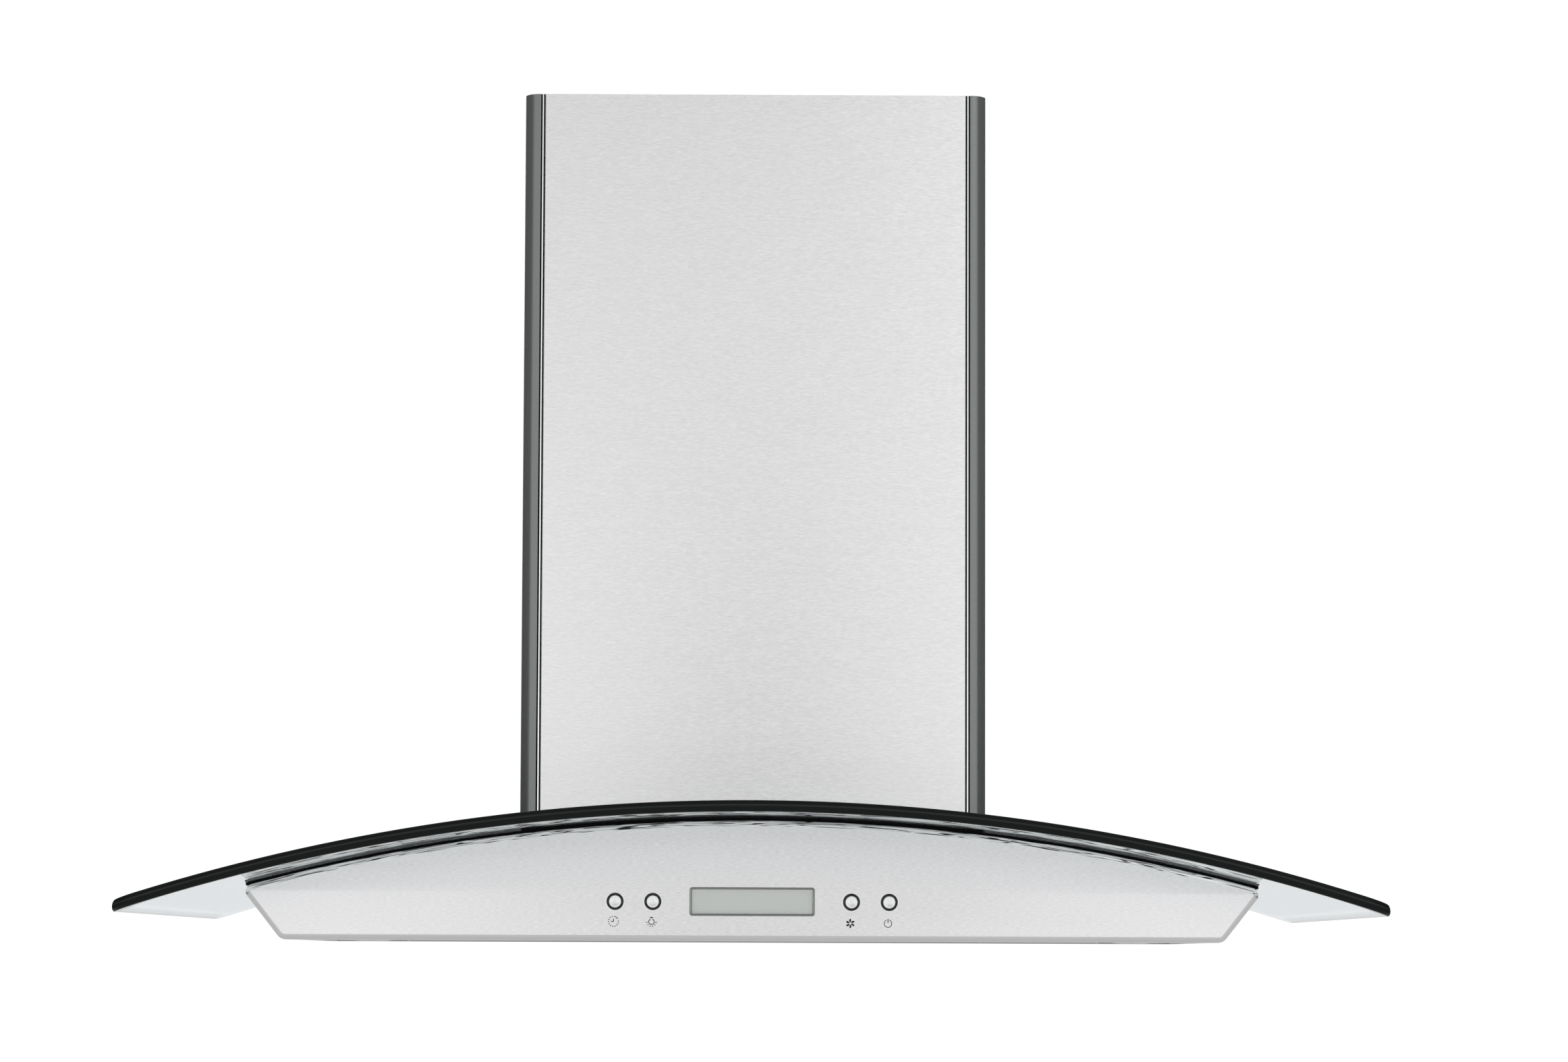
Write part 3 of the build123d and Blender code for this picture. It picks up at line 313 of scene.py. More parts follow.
# ------------------------------------------------------------------ brushed steel of the body
# Type 430 stainless, 1.2 mm, brushed along the hood with a grit belt. The real strokes are 0.1 mm
# apart: they are drawn coarser, 0.6 mm apart and 4 mm long, and break up the reflections.
broad_bands = (14, 14, 60)


def brushed_steel(name, colour, rough, streak=0.2, bump=0.06, grain=(250, 250, 1700)):
    """Stainless steel with belt strokes: streaks in tone, in gloss and in relief. The grain is the
    number of strokes to the metre along each axis, and is smallest along the stroke."""
    material = new_material(name, Base_Color=linear(colour), Metallic=1.0, Roughness=rough)
    tree = material.node_tree
    shader = tree.nodes["Principled BSDF"]
    place = add_node(tree, "ShaderNodeTexCoord")
    fine = add_node(tree, "ShaderNodeMapping", {"Vector": place.outputs["Object"]}, {"Scale": grain})
    strokes = add_node(tree, "ShaderNodeTexNoise", {"Vector": fine.outputs[0]},
                       {"Scale": 1.0, "Detail": 4.0, "Roughness": 0.7})
    broad = add_node(tree, "ShaderNodeMapping", {"Vector": place.outputs["Object"]}, {"Scale": broad_bands})
    bands = add_node(tree, "ShaderNodeTexNoise", {"Vector": broad.outputs[0]}, {"Scale": 1.0, "Detail": 3.0})
    both = add_node(tree, "ShaderNodeMix", {2: strokes.outputs[0], 3: bands.outputs[0]}, {0: 0.06},
                    data_type="FLOAT")
    tone = add_node(tree, "ShaderNodeMapRange", {"Value": both.outputs[0]},
                    {"From Min": 0.25, "From Max": 0.75, "To Min": 1 - streak, "To Max": 1 + streak * 0.6})
    shade = add_node(tree, "ShaderNodeVectorMath", {"Scale": tone.outputs[0]}, {0: linear(colour)[:3]},
                     operation="SCALE")
    tree.links.new(shade.outputs[0], shader.inputs["Base Color"])
    gloss = add_node(tree, "ShaderNodeMapRange", {"Value": both.outputs[0]},
                     {"From Min": 0.25, "From Max": 0.75, "To Min": rough - 0.05, "To Max": rough + 0.08})
    tree.links.new(gloss.outputs[0], shader.inputs["Roughness"])
    relief = add_node(tree, "ShaderNodeBump", {"Height": strokes.outputs[0]},
                      {"Strength": bump, "Distance": 0.0001})
    tree.links.new(relief.outputs[0], shader.inputs["Normal"])
    return material


body_steel = brushed_steel("brushed_430_steel", "efeff0", 0.3)
# The bend keeps the mill's polish and is not quite even. The black gasket that it would mirror is a
# painted reflection here: thin wavy streaks, 20 to 60 mm long, that follow the arch, painted black
# into the bend's colour.
gasket_gap = 2.0
end_round = 4.0
# Streaks to the metre: along the hood, inwards from the front, and outwards from the arch's centre.
streaks_along = 13.0
streaks_inward = 300.0
streaks_outward = 520.0
bend_reflection_painted_steel = new_material("bend_painted_reflection")
tree = bend_reflection_painted_steel.node_tree
place = add_node(tree, "ShaderNodeTexCoord")
parts = add_node(tree, "ShaderNodeSeparateXYZ", {"Vector": place.outputs["Object"]})
rise = add_node(tree, "ShaderNodeMath", {0: parts.outputs["Z"]}, {1: arch_centre * MM}, operation="SUBTRACT")
spoke = add_node(tree, "ShaderNodeCombineXYZ", {"X": parts.outputs["X"], "Z": rise.outputs[0]})
reach = add_node(tree, "ShaderNodeVectorMath", {0: spoke.outputs[0]}, operation="LENGTH")
outward = add_node(tree, "ShaderNodeMath", {0: reach.outputs["Value"]}, {1: streaks_outward},
                   operation="MULTIPLY")
along = add_node(tree, "ShaderNodeMath", {0: parts.outputs["X"]}, {1: streaks_along}, operation="MULTIPLY")
inward = add_node(tree, "ShaderNodeMath", {0: parts.outputs["Y"]}, {1: streaks_inward}, operation="MULTIPLY")
streak_place = add_node(tree, "ShaderNodeCombineXYZ",
                        {"X": along.outputs[0], "Y": inward.outputs[0], "Z": outward.outputs[0]})
swell = add_node(tree, "ShaderNodeTexNoise", {"Vector": streak_place.outputs[0]},
                 {"Scale": 1.0, "Detail": 1.5})
streaks = add_node(tree, "ShaderNodeValToRGB", {0: swell.outputs[0]})
# Painted reflection: the black stops paint the mirrored gasket into the base colour.
streak_stops = ((0.0, "ffffff"), (0.42, "ffffff"), (0.435, "050505"), (0.475, "050505"), (0.49, "ffffff"),
                (0.555, "ffffff"), (0.565, "101010"), (0.59, "101010"), (0.60, "ffffff"))
ramp = streaks.color_ramp.elements
while len(ramp) < len(streak_stops):
    ramp.new(0.5)
for stop, (spot, colour) in zip(ramp, streak_stops):
    stop.position = spot
    stop.color = linear(colour)
# Only the bend along the crown carries the painted streaks, and is made mostly non-metallic there so
# they show as colour. The bends at the sides and the rim are steel painted a darker grey, c6c6c6:
# painted shade that tones down the brighter reflection on those bends.
crown_start = arch_radius - gasket_gap - end_round - 0.8
above = add_node(tree, "ShaderNodeMapRange", {"Value": reach.outputs["Value"]},
                 {"From Min": crown_start * MM, "From Max": (crown_start + 0.6) * MM})
shown = add_node(tree, "ShaderNodeMix", {0: above.outputs[0], 7: streaks.outputs[0]}, {6: linear("c6c6c6")},
                 data_type="RGBA")
metal = add_node(tree, "ShaderNodeMapRange", {"Value": above.outputs[0]}, {"To Min": 1.0, "To Max": 0.2})
gloss = add_node(tree, "ShaderNodeMapRange", {"Value": above.outputs[0]}, {"To Min": 0.3, "To Max": 0.12})
shader = tree.nodes["Principled BSDF"]
tree.links.new(shown.outputs[2], shader.inputs["Base Color"])
tree.links.new(metal.outputs[0], shader.inputs["Metallic"])
tree.links.new(gloss.outputs[0], shader.inputs["Roughness"])
# Folded rims show a cut edge, a little duller and darker.
rim_steel = new_material("cut_steel_rim", Base_Color=linear("a4a4a4"), Metallic=1.0, Roughness=0.35)

body_half_y = box_mm("back_panel")[1][1]
body_top_radius = arch_radius - gasket_gap
steel = 1.2
rim_corner = 8.0
shoulder_corner = 5.5
rim_half = 345.0
shoulder_half = 375.0
side_return = 14.0
flange_y = body_half_y - 16.0
side_play = 0.15
bend_rows = 9

# The leaning side's line, its inward normal, and the centres of the rim's and the shoulder's arcs:
# the shoulder's centre lies its radius inside both the leaning line and the arch.
lean = np.array([shoulder_half - rim_half, arch_z(shoulder_half, body_top_radius)])
lean_length = np.hypot(*lean)
inward = np.array([-lean[1], lean[0]]) / lean_length
lean_angle = math.atan2(-inward[1], -inward[0])
rim_centre = np.array([rim_half - (rim_corner - rim_corner * inward[1]) / -inward[0], rim_corner])
start_point = np.array([rim_half, 0.0]) + shoulder_corner * inward - np.array([0.0, arch_centre])
half_b = start_point @ lean / lean_length
shoulder_reach = body_top_radius - shoulder_corner
shift = -half_b + math.sqrt(half_b**2 - start_point @ start_point + shoulder_reach**2)
shoulder_centre = np.array([rim_half, 0.0]) + shoulder_corner * inward + shift * lean / lean_length
crown_angle = math.atan2(shoulder_centre[1] - arch_centre, shoulder_centre[0])


def body_outline(inset, along=240, bend=9, part=None):
    """The body seen from the front, drawn in by inset: the rim corner's arc, the leaning side, the
    shoulder's arc and the arch, then the same mirrored. Their centres stay where they are. The
    part called right ends on the arch a flange's width inside the rim."""
    low = np.linspace(-math.pi / 2, lean_angle, bend)
    high = np.linspace(lean_angle, crown_angle, bend)
    right = [rim_centre + (rim_corner - inset) * np.stack([np.cos(low), np.sin(low)], 1),
             shoulder_centre + (shoulder_corner - inset) * np.stack([np.cos(high), np.sin(high)], 1)]
    right = np.concatenate(right)
    if part == "right":
        tail = np.linspace(crown_angle, math.acos((rim_half - side_return) / body_top_radius), 6)[1:]
    else:
        tail = np.linspace(crown_angle, math.pi - crown_angle, along)[1:-1]
    top = np.array([0, arch_centre]) + (body_top_radius - inset) * np.stack([np.cos(tail), np.sin(tail)], 1)
    if part == "right":
        return np.concatenate([[(rim_half - side_return, inset)], right, top])
    return closed(np.concatenate([right, top, right[::-1] * (-1, 1)]))


def at_y(path, y):
    """A front-view path as points in space at one depth."""
    return np.stack([path[:, 0], np.full(len(path), float(y)), path[:, 1]], 1)


ripple_height = 0.16
ripple_from = 40.0
ripple_waves = ((4.9, 0.0, 0.5), (2.6, 1.3, 0.3), (8.7, 0.4, 0.8), (1.7, 0.0, 0.12))


def ripple(x):
    """The small waves that folding leaves along the bend, as a sum of unrelated swells, each with
    its length over a full turn, its start and its share."""
    return sum(np.sin(x / length + start) * share for length, start, share in ripple_waves)


def rolled_end(side, holes):
    """One end panel: a flat face with holes, the bend round it, and the flange behind, all of one
    sheet. The bend is the outline drawn in by r(1 - sin t) at depth r(1 - cos t), as t turns 90 degrees."""
    turns = np.linspace(0, math.pi / 2, bend_rows)
    outer, inner = [], []
    for turn in turns:
        drawn = end_round * (1 - math.sin(turn))
        path = at_y(body_outline(drawn), side * (body_half_y - end_round * (1 - math.cos(turn))))
        on_crown = np.clip((path[:, 2] - ripple_from) / 10.0, 0, 1) * math.sin(turn) * ripple_height
        path[:, 2] += ripple(path[:, 0]) * on_crown * math.cos(turn * 0.8)
        path[:, 1] += side * ripple(path[:, 0] + 3.0) * on_crown * 0.5
        outer.append(path)
        inner_round = end_round - steel
        drawn = end_round - inner_round * math.sin(turn)
        depth = end_round - inner_round * math.cos(turn)
        inner.append(at_y(body_outline(drawn), side * (body_half_y - depth)))
    outer.append(at_y(body_outline(0.0), side * flange_y))
    inner.append(at_y(body_outline(steel), side * flange_y))
    face = outer[0][:-1]
    loops = [face] + [at_y(hole[:-1], side * body_half_y) for hole in holes]
    flat = np.concatenate(loops)
    flat_loops = [[Vector((point[0], point[2], 0)) for point in loop] for loop in loops]
    triangles = np.array(tessellate_polygon(flat_loops))
    back = flat - (0, side * steel, 0)
    parts = [((flat, triangles), 0), ((back, triangles), 0)]
    parts += [(np.stack([at_y(hole, side * body_half_y), at_y(hole, side * (body_half_y - steel))]), 0)
              for hole in holes]
    parts += [(np.stack(outer[:bend_rows]), 1), (np.stack(outer[bend_rows - 1:]), 1), (np.stack(inner), 0),
              (np.stack([outer[-1], inner[-1]]), 2)]
    return parts


def ring(centre_x, centre_z, radius, count=64):
    """A circle in the front view."""
    turn = np.linspace(0, 2 * math.pi, count + 1)
    path = np.stack([centre_x + radius * np.cos(turn), centre_z + radius * np.sin(turn)], 1)
    path[-1] = path[0]
    return path


buttons = ("timer", "light", "speed", "power")
button_spots = {}
for name in buttons:
    low, high = box_mm(f"{name}_button")
    button_spots[name] = ((low[0] + high[0]) / 2, (low[2] + high[2]) / 2)
bezel_low, bezel_high = box_mm("display_bezel")
display_x, display_z = (bezel_low[0] + bezel_high[0]) / 2, (bezel_low[2] + bezel_high[2]) / 2
bezel_flange = 1.5
display_half_x = (bezel_high[0] - bezel_low[0]) / 2 - bezel_flange
display_half_z = (bezel_high[2] - bezel_low[2]) / 2 - bezel_flange
display_corner = 2.0
display_play = 0.1
ring_radius = 6.3
ring_play = 0.05
control_holes = [ring(x, z, ring_radius + ring_play) for x, z in button_spots.values()]
display_hole = rounded_rectangle(display_half_x + display_play, display_half_z + display_play, display_corner,
                                 along=4, bend=6)
control_holes.append(display_hole + (display_x, display_z))
steels = [body_steel, bend_reflection_painted_steel, rim_steel]
mesh_piece("front_cover", rolled_end(-1, control_holes), steels, "hood", ["front_panel"])
mesh_piece("back_cover", rolled_end(1, []), steels, "hood", ["back_panel"])


def folded_side(side):
    """A side panel: the leaning face with its rim and top flanges, between the two end panels. Its
    outer and inner faces run along y, and four strips close it."""
    outer = body_outline(0.0, part="right") * (side, 1)
    inner = body_outline(steel, part="right") * (side, 1)
    reach = flange_y - side_play
    faces = [(np.stack([at_y(line, -reach), at_y(line, reach)]), 0) for line in (outer, inner)]
    ends = [(np.stack([at_y(outer, y), at_y(inner, y)]), 2) for y in (-reach, reach)]
    rims = [np.stack([outer[k], inner[k]]) for k in (0, -1)]
    return faces + ends + [(np.stack([at_y(rim, -reach), at_y(rim, reach)]), 2) for rim in rims]


for side, name in ((-1, "left"), (1, "right")):
    mesh_piece(f"side_cover_{name}", folded_side(side), steels, "hood", [f"side_panel_{name}"])

# ------------------------------------------------------------------ chimney cover
# Rounded side channels in satin dark grey, and flat brushed panels between them, with a
# bright bead standing in each seam. The dark grey is painted reflection: it stands in for the dark
# studio sides that the rounded steel corners mirror. All are cut to the arch of the glass below.
chimney_half_x, chimney_half_y, chimney_top = box_mm("chimney_side_right")[1]
chimney_corner = 12.0
chimney_gap = 1.0
chimney_foot = arch_radius + glass_thickness + chimney_gap
channel_lip = 18.8
channel_depth = 4.0
lip_x = chimney_half_x - chimney_corner
panel_low, panel_high = box_mm("chimney_front_panel")
panel_half = panel_high[0]
panel_depth = panel_high[1] - panel_low[1]
panel_round = 1.0


def upright(path, foot=chimney_foot, top=chimney_top, level=None):
    """A plan path at its foot, which is on an arch or at one level, and again at its top."""
    low_z = arch_z(path[:, :1], foot) if level is None else np.full((len(path), 1), level)
    high_z = np.full((len(path), 1), top)
    return np.stack([np.concatenate([path, low_z], 1), np.concatenate([path, high_z], 1)])


def sheet_up(outer, inner, number=0, **ends):
    """A bent sheet standing up: its outer and inner plan lines, joined at both edges, top and foot."""
    a, b = upright(outer, **ends), upright(inner, **ends)
    return [(a, number), (b, number), (np.stack([a[1], b[1]]), number), (np.stack([a[0], b[0]]), number),
            (np.stack([a[:, 0], b[:, 0]]), number), (np.stack([a[:, -1], b[:, -1]]), number)]


def channel_line(side, inset):
    """Half of a side channel in plan: flange, lip, round corner and side, mirrored front to back."""
    turn = np.radians(np.linspace(-90, 0, 20))
    radius = chimney_corner - inset
    corner = np.stack([lip_x + radius * np.cos(turn),
                       chimney_corner - chimney_half_y + radius * np.sin(turn)], 1)
    flange_depth = channel_depth - steel + inset
    flange = [(lip_x - channel_lip, flange_depth), (lip_x + inset, flange_depth), (lip_x + inset, inset)]
    front = np.concatenate([np.array(flange) - (0, chimney_half_y), corner[1:]])
    return np.concatenate([front, front[::-1] * (1, -1)]) * (side, 1)


def satin_reflection_paint(name, colour):
    """A part-metallic satin finish whose flat dark colour is painted reflection: smooth, with a satin
    sheen, a faint upright drag about 1 mm apart and 80 mm long, and a grain of 0.4 mm."""
    material = new_material(name, Base_Color=linear(colour), Metallic=0.6, Roughness=0.3)
    tree = material.node_tree
    shader = tree.nodes["Principled BSDF"]
    place = add_node(tree, "ShaderNodeTexCoord")
    stretch = add_node(tree, "ShaderNodeMapping", {"Vector": place.outputs["Object"]},
                       {"Scale": (900, 900, 12)})
    drag = add_node(tree, "ShaderNodeTexNoise", {"Vector": stretch.outputs[0]}, {"Scale": 1.0, "Detail": 2.0})
    gloss = add_node(tree, "ShaderNodeMapRange", {"Value": drag.outputs[0]}, {"To Min": 0.22, "To Max": 0.32})
    tree.links.new(gloss.outputs[0], shader.inputs["Roughness"])
    grain = add_node(tree, "ShaderNodeTexNoise", {"Vector": place.outputs["Object"]},
                     {"Scale": 2500.0, "Detail": 1.0})
    relief = add_node(tree, "ShaderNodeBump", {"Height": grain.outputs[0]},
                      {"Strength": 0.05, "Distance": 0.0001})
    tree.links.new(relief.outputs[0], shader.inputs["Normal"])
    return material


chimney_steel = brushed_steel("brushed_chimney_steel", "eaeaea", 0.30)
# Painted reflection: the dark grey 7d807f stands in for the dark the rounded corners mirror from the studio's
# sides.
dark_reflection_paint = satin_reflection_paint("dark_grey_painted_reflection", "7d807f")
# The bead is bright-annealed strip, almost a mirror.
bright_strip = new_material("bright_annealed_strip", Base_Color=linear("f4f4f4"), Metallic=1.0, Roughness=0.1)

for side, name in ((-1, "left"), (1, "right")):
    parts = sheet_up(channel_line(side, 0.0), channel_line(side, steel))
    mesh_piece(f"chimney_column_{name}", parts, [dark_reflection_paint], "hood",
               [f"chimney_side_{name}"])


def panel_line(end, inset):
    """A chimney panel in plan: an edge return, a small round, the face, and the same mirrored. The
    round is an arc about a centre that moves in by half the inset as its radius shrinks by half."""
    turn = np.radians(np.linspace(180, 270, 7))
    radius, centre = panel_round - inset / 2, panel_round + inset / 2
    corner = np.stack([centre - panel_half + radius * np.cos(turn),
                       centre - chimney_half_y + radius * np.sin(turn)], 1)
    edge = np.concatenate([[(-panel_half + inset, -chimney_half_y + panel_depth)], corner])
    return np.concatenate([edge, edge[::-1] * (-1, 1)]) * (1, -end)


for end, name in ((-1, "front"), (1, "back")):
    parts = sheet_up(panel_line(end, 0.0), panel_line(end, steel))
    mesh_piece(f"chimney_face_{name}", parts, [chimney_steel], "hood",
               [f"chimney_{name}_panel"])

bead_radius = 0.75
bead_depth = 1.7
bead_set_back = 0.2
bead_gap = 0.8
bead_x = lip_x - bead_gap - bead_radius
bead_turn = np.radians(np.linspace(180, 360, 13))
bead_line = bead_radius * np.stack([np.cos(bead_turn), np.sin(bead_turn)], 1)
bead_line = closed(np.concatenate([[(-bead_radius, bead_depth)], bead_line, [(bead_radius, bead_depth)]]))
bead_line = bead_line + (0, bead_radius + bead_set_back)
# A black strip, 0.7 by 0.6 mm, lies in the groove on each side of the bead: painted shade, a dark
# sheet put where the groove's shadow falls, that shows as two thin dark lines.
shade_strip_line = closed(np.array([(-1.45, 1.0), (-0.76, 1.0), (-0.76, 1.6), (-1.45, 1.6)]))
shade_strip_shift = 2.21
groove_shade_paint = new_material("groove_painted_shade", Base_Color=linear("050505"), Roughness=0.9, IOR=1.1)
strips = ((bead_line, 0), (shade_strip_line, 1), (shade_strip_line + (shade_strip_shift, 0), 1))
bead_parts = []
for side in (-1, 1):
    for end in (-1, 1):
        for line, number in strips:
            wall = upright((line - (0, chimney_half_y)) * (side, -end) + (side * bead_x, 0))
            middle = wall.mean(axis=1, keepdims=True).repeat(wall.shape[1], 1)
            bead_parts += [(wall, number)]
            bead_parts += [(np.stack([wall[k], middle[k]]), number) for k in (0, 1)]
mesh_piece("chimney_beads", bead_parts, [bright_strip, groove_shade_paint], "hood",
           ["chimney_strips"])

# ------------------------------------------------------------------ upper chimney cover
# Two plain brushed halves that stay with the ceiling plate, inside the lower cover at rest.
upper_low, upper_high = box_mm("upper_cover_front")
upper_corner = 10.0
upper_sheet = 1.0
upper_play = 0.05
for end, name in ((-1, "front"), (1, "back")):
    lines = []
    for inset in (0.0, upper_sheet):
        turn = np.radians(np.linspace(180, 270, 14))
        radius = upper_corner - inset
        corner = np.stack([-upper_high[0] + upper_corner + radius * np.cos(turn),
                           upper_low[1] + upper_corner + radius * np.sin(turn)], 1)
        edge = np.concatenate([[(-upper_high[0] + inset, -upper_play)], corner])
        lines.append(np.concatenate([edge, edge[::-1] * (-1, 1)]) * (1, -end))
    parts = sheet_up(lines[0], lines[1], top=upper_high[2], level=upper_low[2])
    mesh_piece(f"upper_half_{name}", parts, [chimney_steel], "ceiling",
               [f"upper_cover_{name}"])


# ------------------------------------------------------------------ gasket, clip pads and chimney seal
# Black EPDM strip, extruded and cut, squeezed between steel and glass. Matt, with a fine mould
# grain about 0.5 mm across.
def dress(material, *names):
    """Gives CAD nodes a material."""
    for name in names:
        nodes[name].data.materials.clear()
        nodes[name].data.materials.append(material)


def grained(name, colour, rough, grain, depth, contrast=0.1, **settings):
    """A material with an even grain, in cells per metre, that shows in tone, in gloss and in relief."""
    material = new_material(name, Base_Color=linear(colour), Roughness=rough, **settings)
    tree = material.node_tree
    shader = tree.nodes["Principled BSDF"]
    place = add_node(tree, "ShaderNodeTexCoord")
    speckle = add_node(tree, "ShaderNodeTexNoise", {"Vector": place.outputs["Object"]},
                       {"Scale": grain, "Detail": 3.0})
    tone = add_node(tree, "ShaderNodeMapRange", {"Value": speckle.outputs[0]},
                    {"From Min": 0.3, "From Max": 0.7, "To Min": 1 - contrast, "To Max": 1 + contrast})
    shade = add_node(tree, "ShaderNodeVectorMath", {"Scale": tone.outputs[0]}, {0: linear(colour)[:3]},
                     operation="SCALE")
    gloss = add_node(tree, "ShaderNodeMapRange", {"Value": speckle.outputs[0]},
                     {"From Min": 0.3, "From Max": 0.7, "To Min": rough * 0.85, "To Max": rough * 1.15})
    relief = add_node(tree, "ShaderNodeBump", {"Height": speckle.outputs[0]},
                      {"Strength": 0.3, "Distance": depth})
    tree.links.new(shade.outputs[0], shader.inputs["Base Color"])
    tree.links.new(gloss.outputs[0], shader.inputs["Roughness"])
    tree.links.new(relief.outputs[0], shader.inputs["Normal"])
    return material


dress(float_glass, "glass_canopy")
dress(body_steel, "front_panel", "back_panel", "side_panel_left", "side_panel_right")
dress(chimney_steel, "chimney_front_panel", "chimney_back_panel", "upper_cover_front", "upper_cover_back")
dress(dark_reflection_paint, "chimney_side_left", "chimney_side_right")
dress(bright_strip, "chimney_strips")
black_rubber = grained("black_epdm_rubber", "050505", 0.8, 2000.0, 0.0001, IOR=1.2)
dress(black_rubber, "glass_gasket", "chimney_seal", "glass_clip_pads")

# ------------------------------------------------------------------ body top plate and bottom frame
# The inside plates of the body, the same brushed steel, cut and folded on a press brake.
level_grain = (250, 1700, 1700)
level_steel = brushed_steel("brushed_level_steel", "efeff0", 0.3, grain=level_grain)
dress(level_steel, "body_top_plate", "bottom_frame")

# ------------------------------------------------------------------ push buttons
# Turned and nickel-plated caps with a shallow dish, each in a glossy black ring that is snapped
# into the panel. The punched hole leaves a thin bright rim round the ring.
panel_y = -body_half_y


def turned(profile, x, z, count=64):
    """A profile of radius and depth behind the panel's face, carried round a level axis at x, z."""
    turn = np.linspace(0, 2 * math.pi, count + 1)
    turn[-1] = 0.0
    radius, depth = np.array(profile).T[:, :, None]
    return np.stack([x + radius * np.cos(turn), panel_y + depth + 0 * turn, z + radius * np.sin(turn)], -1)


cap_radius = 4.5
cap_flange = 6.0
flange_front = 4.1
flange_back = 5.6
dish_reach = 3.6
dish_depth = 0.6
cap_low, cap_high = box_mm("timer_button")
cap_front, cap_end = cap_low[1] - panel_y, cap_high[1] - panel_y
# The dish is a parabola, and the cap's front edge is rounded over 0.6 mm.
dish = [(r, cap_front + dish_depth * (1 - (r / dish_reach)**2)) for r in np.linspace(0, dish_reach, 10)]
cap_edge = [(4.0, cap_front + 0.02), (4.28, cap_front + 0.14), (4.44, cap_front + 0.32),
            (cap_radius, cap_front + 0.6)]
cap_back = [(cap_radius, flange_front), (cap_flange, flange_front), (cap_flange, flange_back),
            (cap_radius, flange_back), (cap_radius, cap_end), (0.0, cap_end)]
# Satin nickel, blasted before plating: bright, with a grain too fine to see, drawn at 0.6 mm.
nickel = grained("satin_nickel", "f6f6f6", 0.3, 1600.0, 0.00002, contrast=0.02, Metallic=0.55)
ring_black = grained("glossy_black_abs", "050505", 0.22, 1500.0, 0.00002)
hole_rim = new_material("punched_bright_rim", Base_Color=linear("fafafa"), Metallic=1.0, Roughness=0.25)
dress(nickel, *[f"{name}_button" for name in buttons])
dress(ring_black, "button_rings")
ring_bore = 4.56
ring_middle = (ring_bore + ring_radius) / 2
ring_half = (ring_radius - ring_bore) / 2
ring_rise = 0.55
ring_catch = 8.0
ring_arc = [(ring_middle - ring_half * math.cos(t), -ring_rise * math.sin(t))
            for t in np.linspace(0, math.pi, 13)]
ring_back = [(ring_radius, steel), (ring_catch, steel), (ring_catch, 2.6), (ring_radius, 2.6),
             (ring_radius, 4.0), (ring_bore, 4.0), (ring_bore, 0.0)]
punched_rim = [(ring_radius, 0.0), (6.34, -0.12), (6.5, -0.16), (6.72, -0.1), (6.78, 0.02),
               (ring_radius, 0.02), (ring_radius, 0.0)]
ring_parts = []
for name, (x, z) in button_spots.items():
    mesh_piece(f"{name}_cap", [(turned(dish + cap_edge + cap_back, x, z), 0)], [nickel], f"{name}_button",
               [f"{name}_button"])
    ring_parts.append((turned(ring_arc + ring_back, x, z), 0))
    ring_parts.append((turned(punched_rim, x, z), 1))
mesh_piece("button_collars", ring_parts, [ring_black, hole_rim], "hood", ["button_rings"])

# ------------------------------------------------------------------ display
# A reflective liquid crystal behind a clear acrylic window, in a polished frame clipped through
# the panel. Unlit it is an even grey green, with the faint grid of its segments.
display_border = 1.2
frame_back = 2.4
# The frame's section as distance inwards and depth behind the panel's face: a raised, rounded rim,
# a wall into the hole and a flange behind the sheet.
frame_profile = [(0.0, 0.0), (0.05, -0.25), (0.25, -0.4), (0.75, -0.4), (1.0, -0.28), (display_border, 0.1),
                 (display_border, frame_back), (-bezel_flange, frame_back), (-bezel_flange, steel),
                 (0.0, steel), (0.0, 0.0)]
frame_rows = []
for inset, depth in frame_profile:
    corner = display_corner - display_play - min(inset, 1.1)
    line = rounded_rectangle(display_half_x - inset, display_half_z - inset, corner, along=6, bend=8)
    frame_rows.append(at_y(line + (display_x, display_z), panel_y + depth))
bezel_steel = new_material("polished_bezel_steel", Base_Color=linear("8e8e8e"), Metallic=1.0, Roughness=0.12)
mesh_piece("display_frame", [(np.stack(frame_rows), 0)], [bezel_steel], "hood",
           ["display_bezel"])
# The window is clear: only its gloss shows.
acrylic = grained("clear_acrylic", "ffffff", 0.06, 400.0, 0.00001, contrast=0.0, Alpha=0.06)
dress(acrylic, "display_window")
dress(bezel_steel, "display_bezel")
liquid_crystal = new_material("reflective_lcd", Roughness=0.35)
tree = liquid_crystal.node_tree
place = add_node(tree, "ShaderNodeTexCoord")
grid_scale = 160.0
upright_lines = add_node(tree, "ShaderNodeTexWave", {"Vector": place.outputs["Object"]},
                         {"Scale": grid_scale, "Distortion": 0.0}, bands_direction="X")
level_lines = add_node(tree, "ShaderNodeTexWave", {"Vector": place.outputs["Object"]},
                       {"Scale": grid_scale, "Distortion": 0.0}, bands_direction="Z")
grid = add_node(tree, "ShaderNodeMath", {0: upright_lines.outputs["Fac"], 1: level_lines.outputs["Fac"]},
                operation="MULTIPLY")
face = add_node(tree, "ShaderNodeMix", {0: grid.outputs[0]}, {6: linear("d0d4d0"), 7: linear("d8dcd8")},
                data_type="RGBA")
tree.links.new(face.outputs[2], tree.nodes["Principled BSDF"].inputs["Base Color"])
dress(liquid_crystal, "display_module")

# ------------------------------------------------------------------ icons
# Four plain symbols pad-printed in black ink under the buttons: a clock, a lamp, a fan and a
# power sign. The ink stands 0.04 mm off the steel.
ink_thickness = 0.04
ink_spread = 0.045


def decal(outline):
    """A flat shape of ink, from its outline in the front view: two faces and the wall between."""
    flat = at_y(outline, panel_y)
    triangles = np.array(tessellate_polygon([[Vector((x, z, 0)) for x, z in outline]]))
    rise = np.array([0, -ink_thickness, 0])
    wall = np.stack([closed(flat), closed(flat) + rise])
    return [((flat, triangles), 0), ((flat + rise, triangles), 0), (wall, 0)]


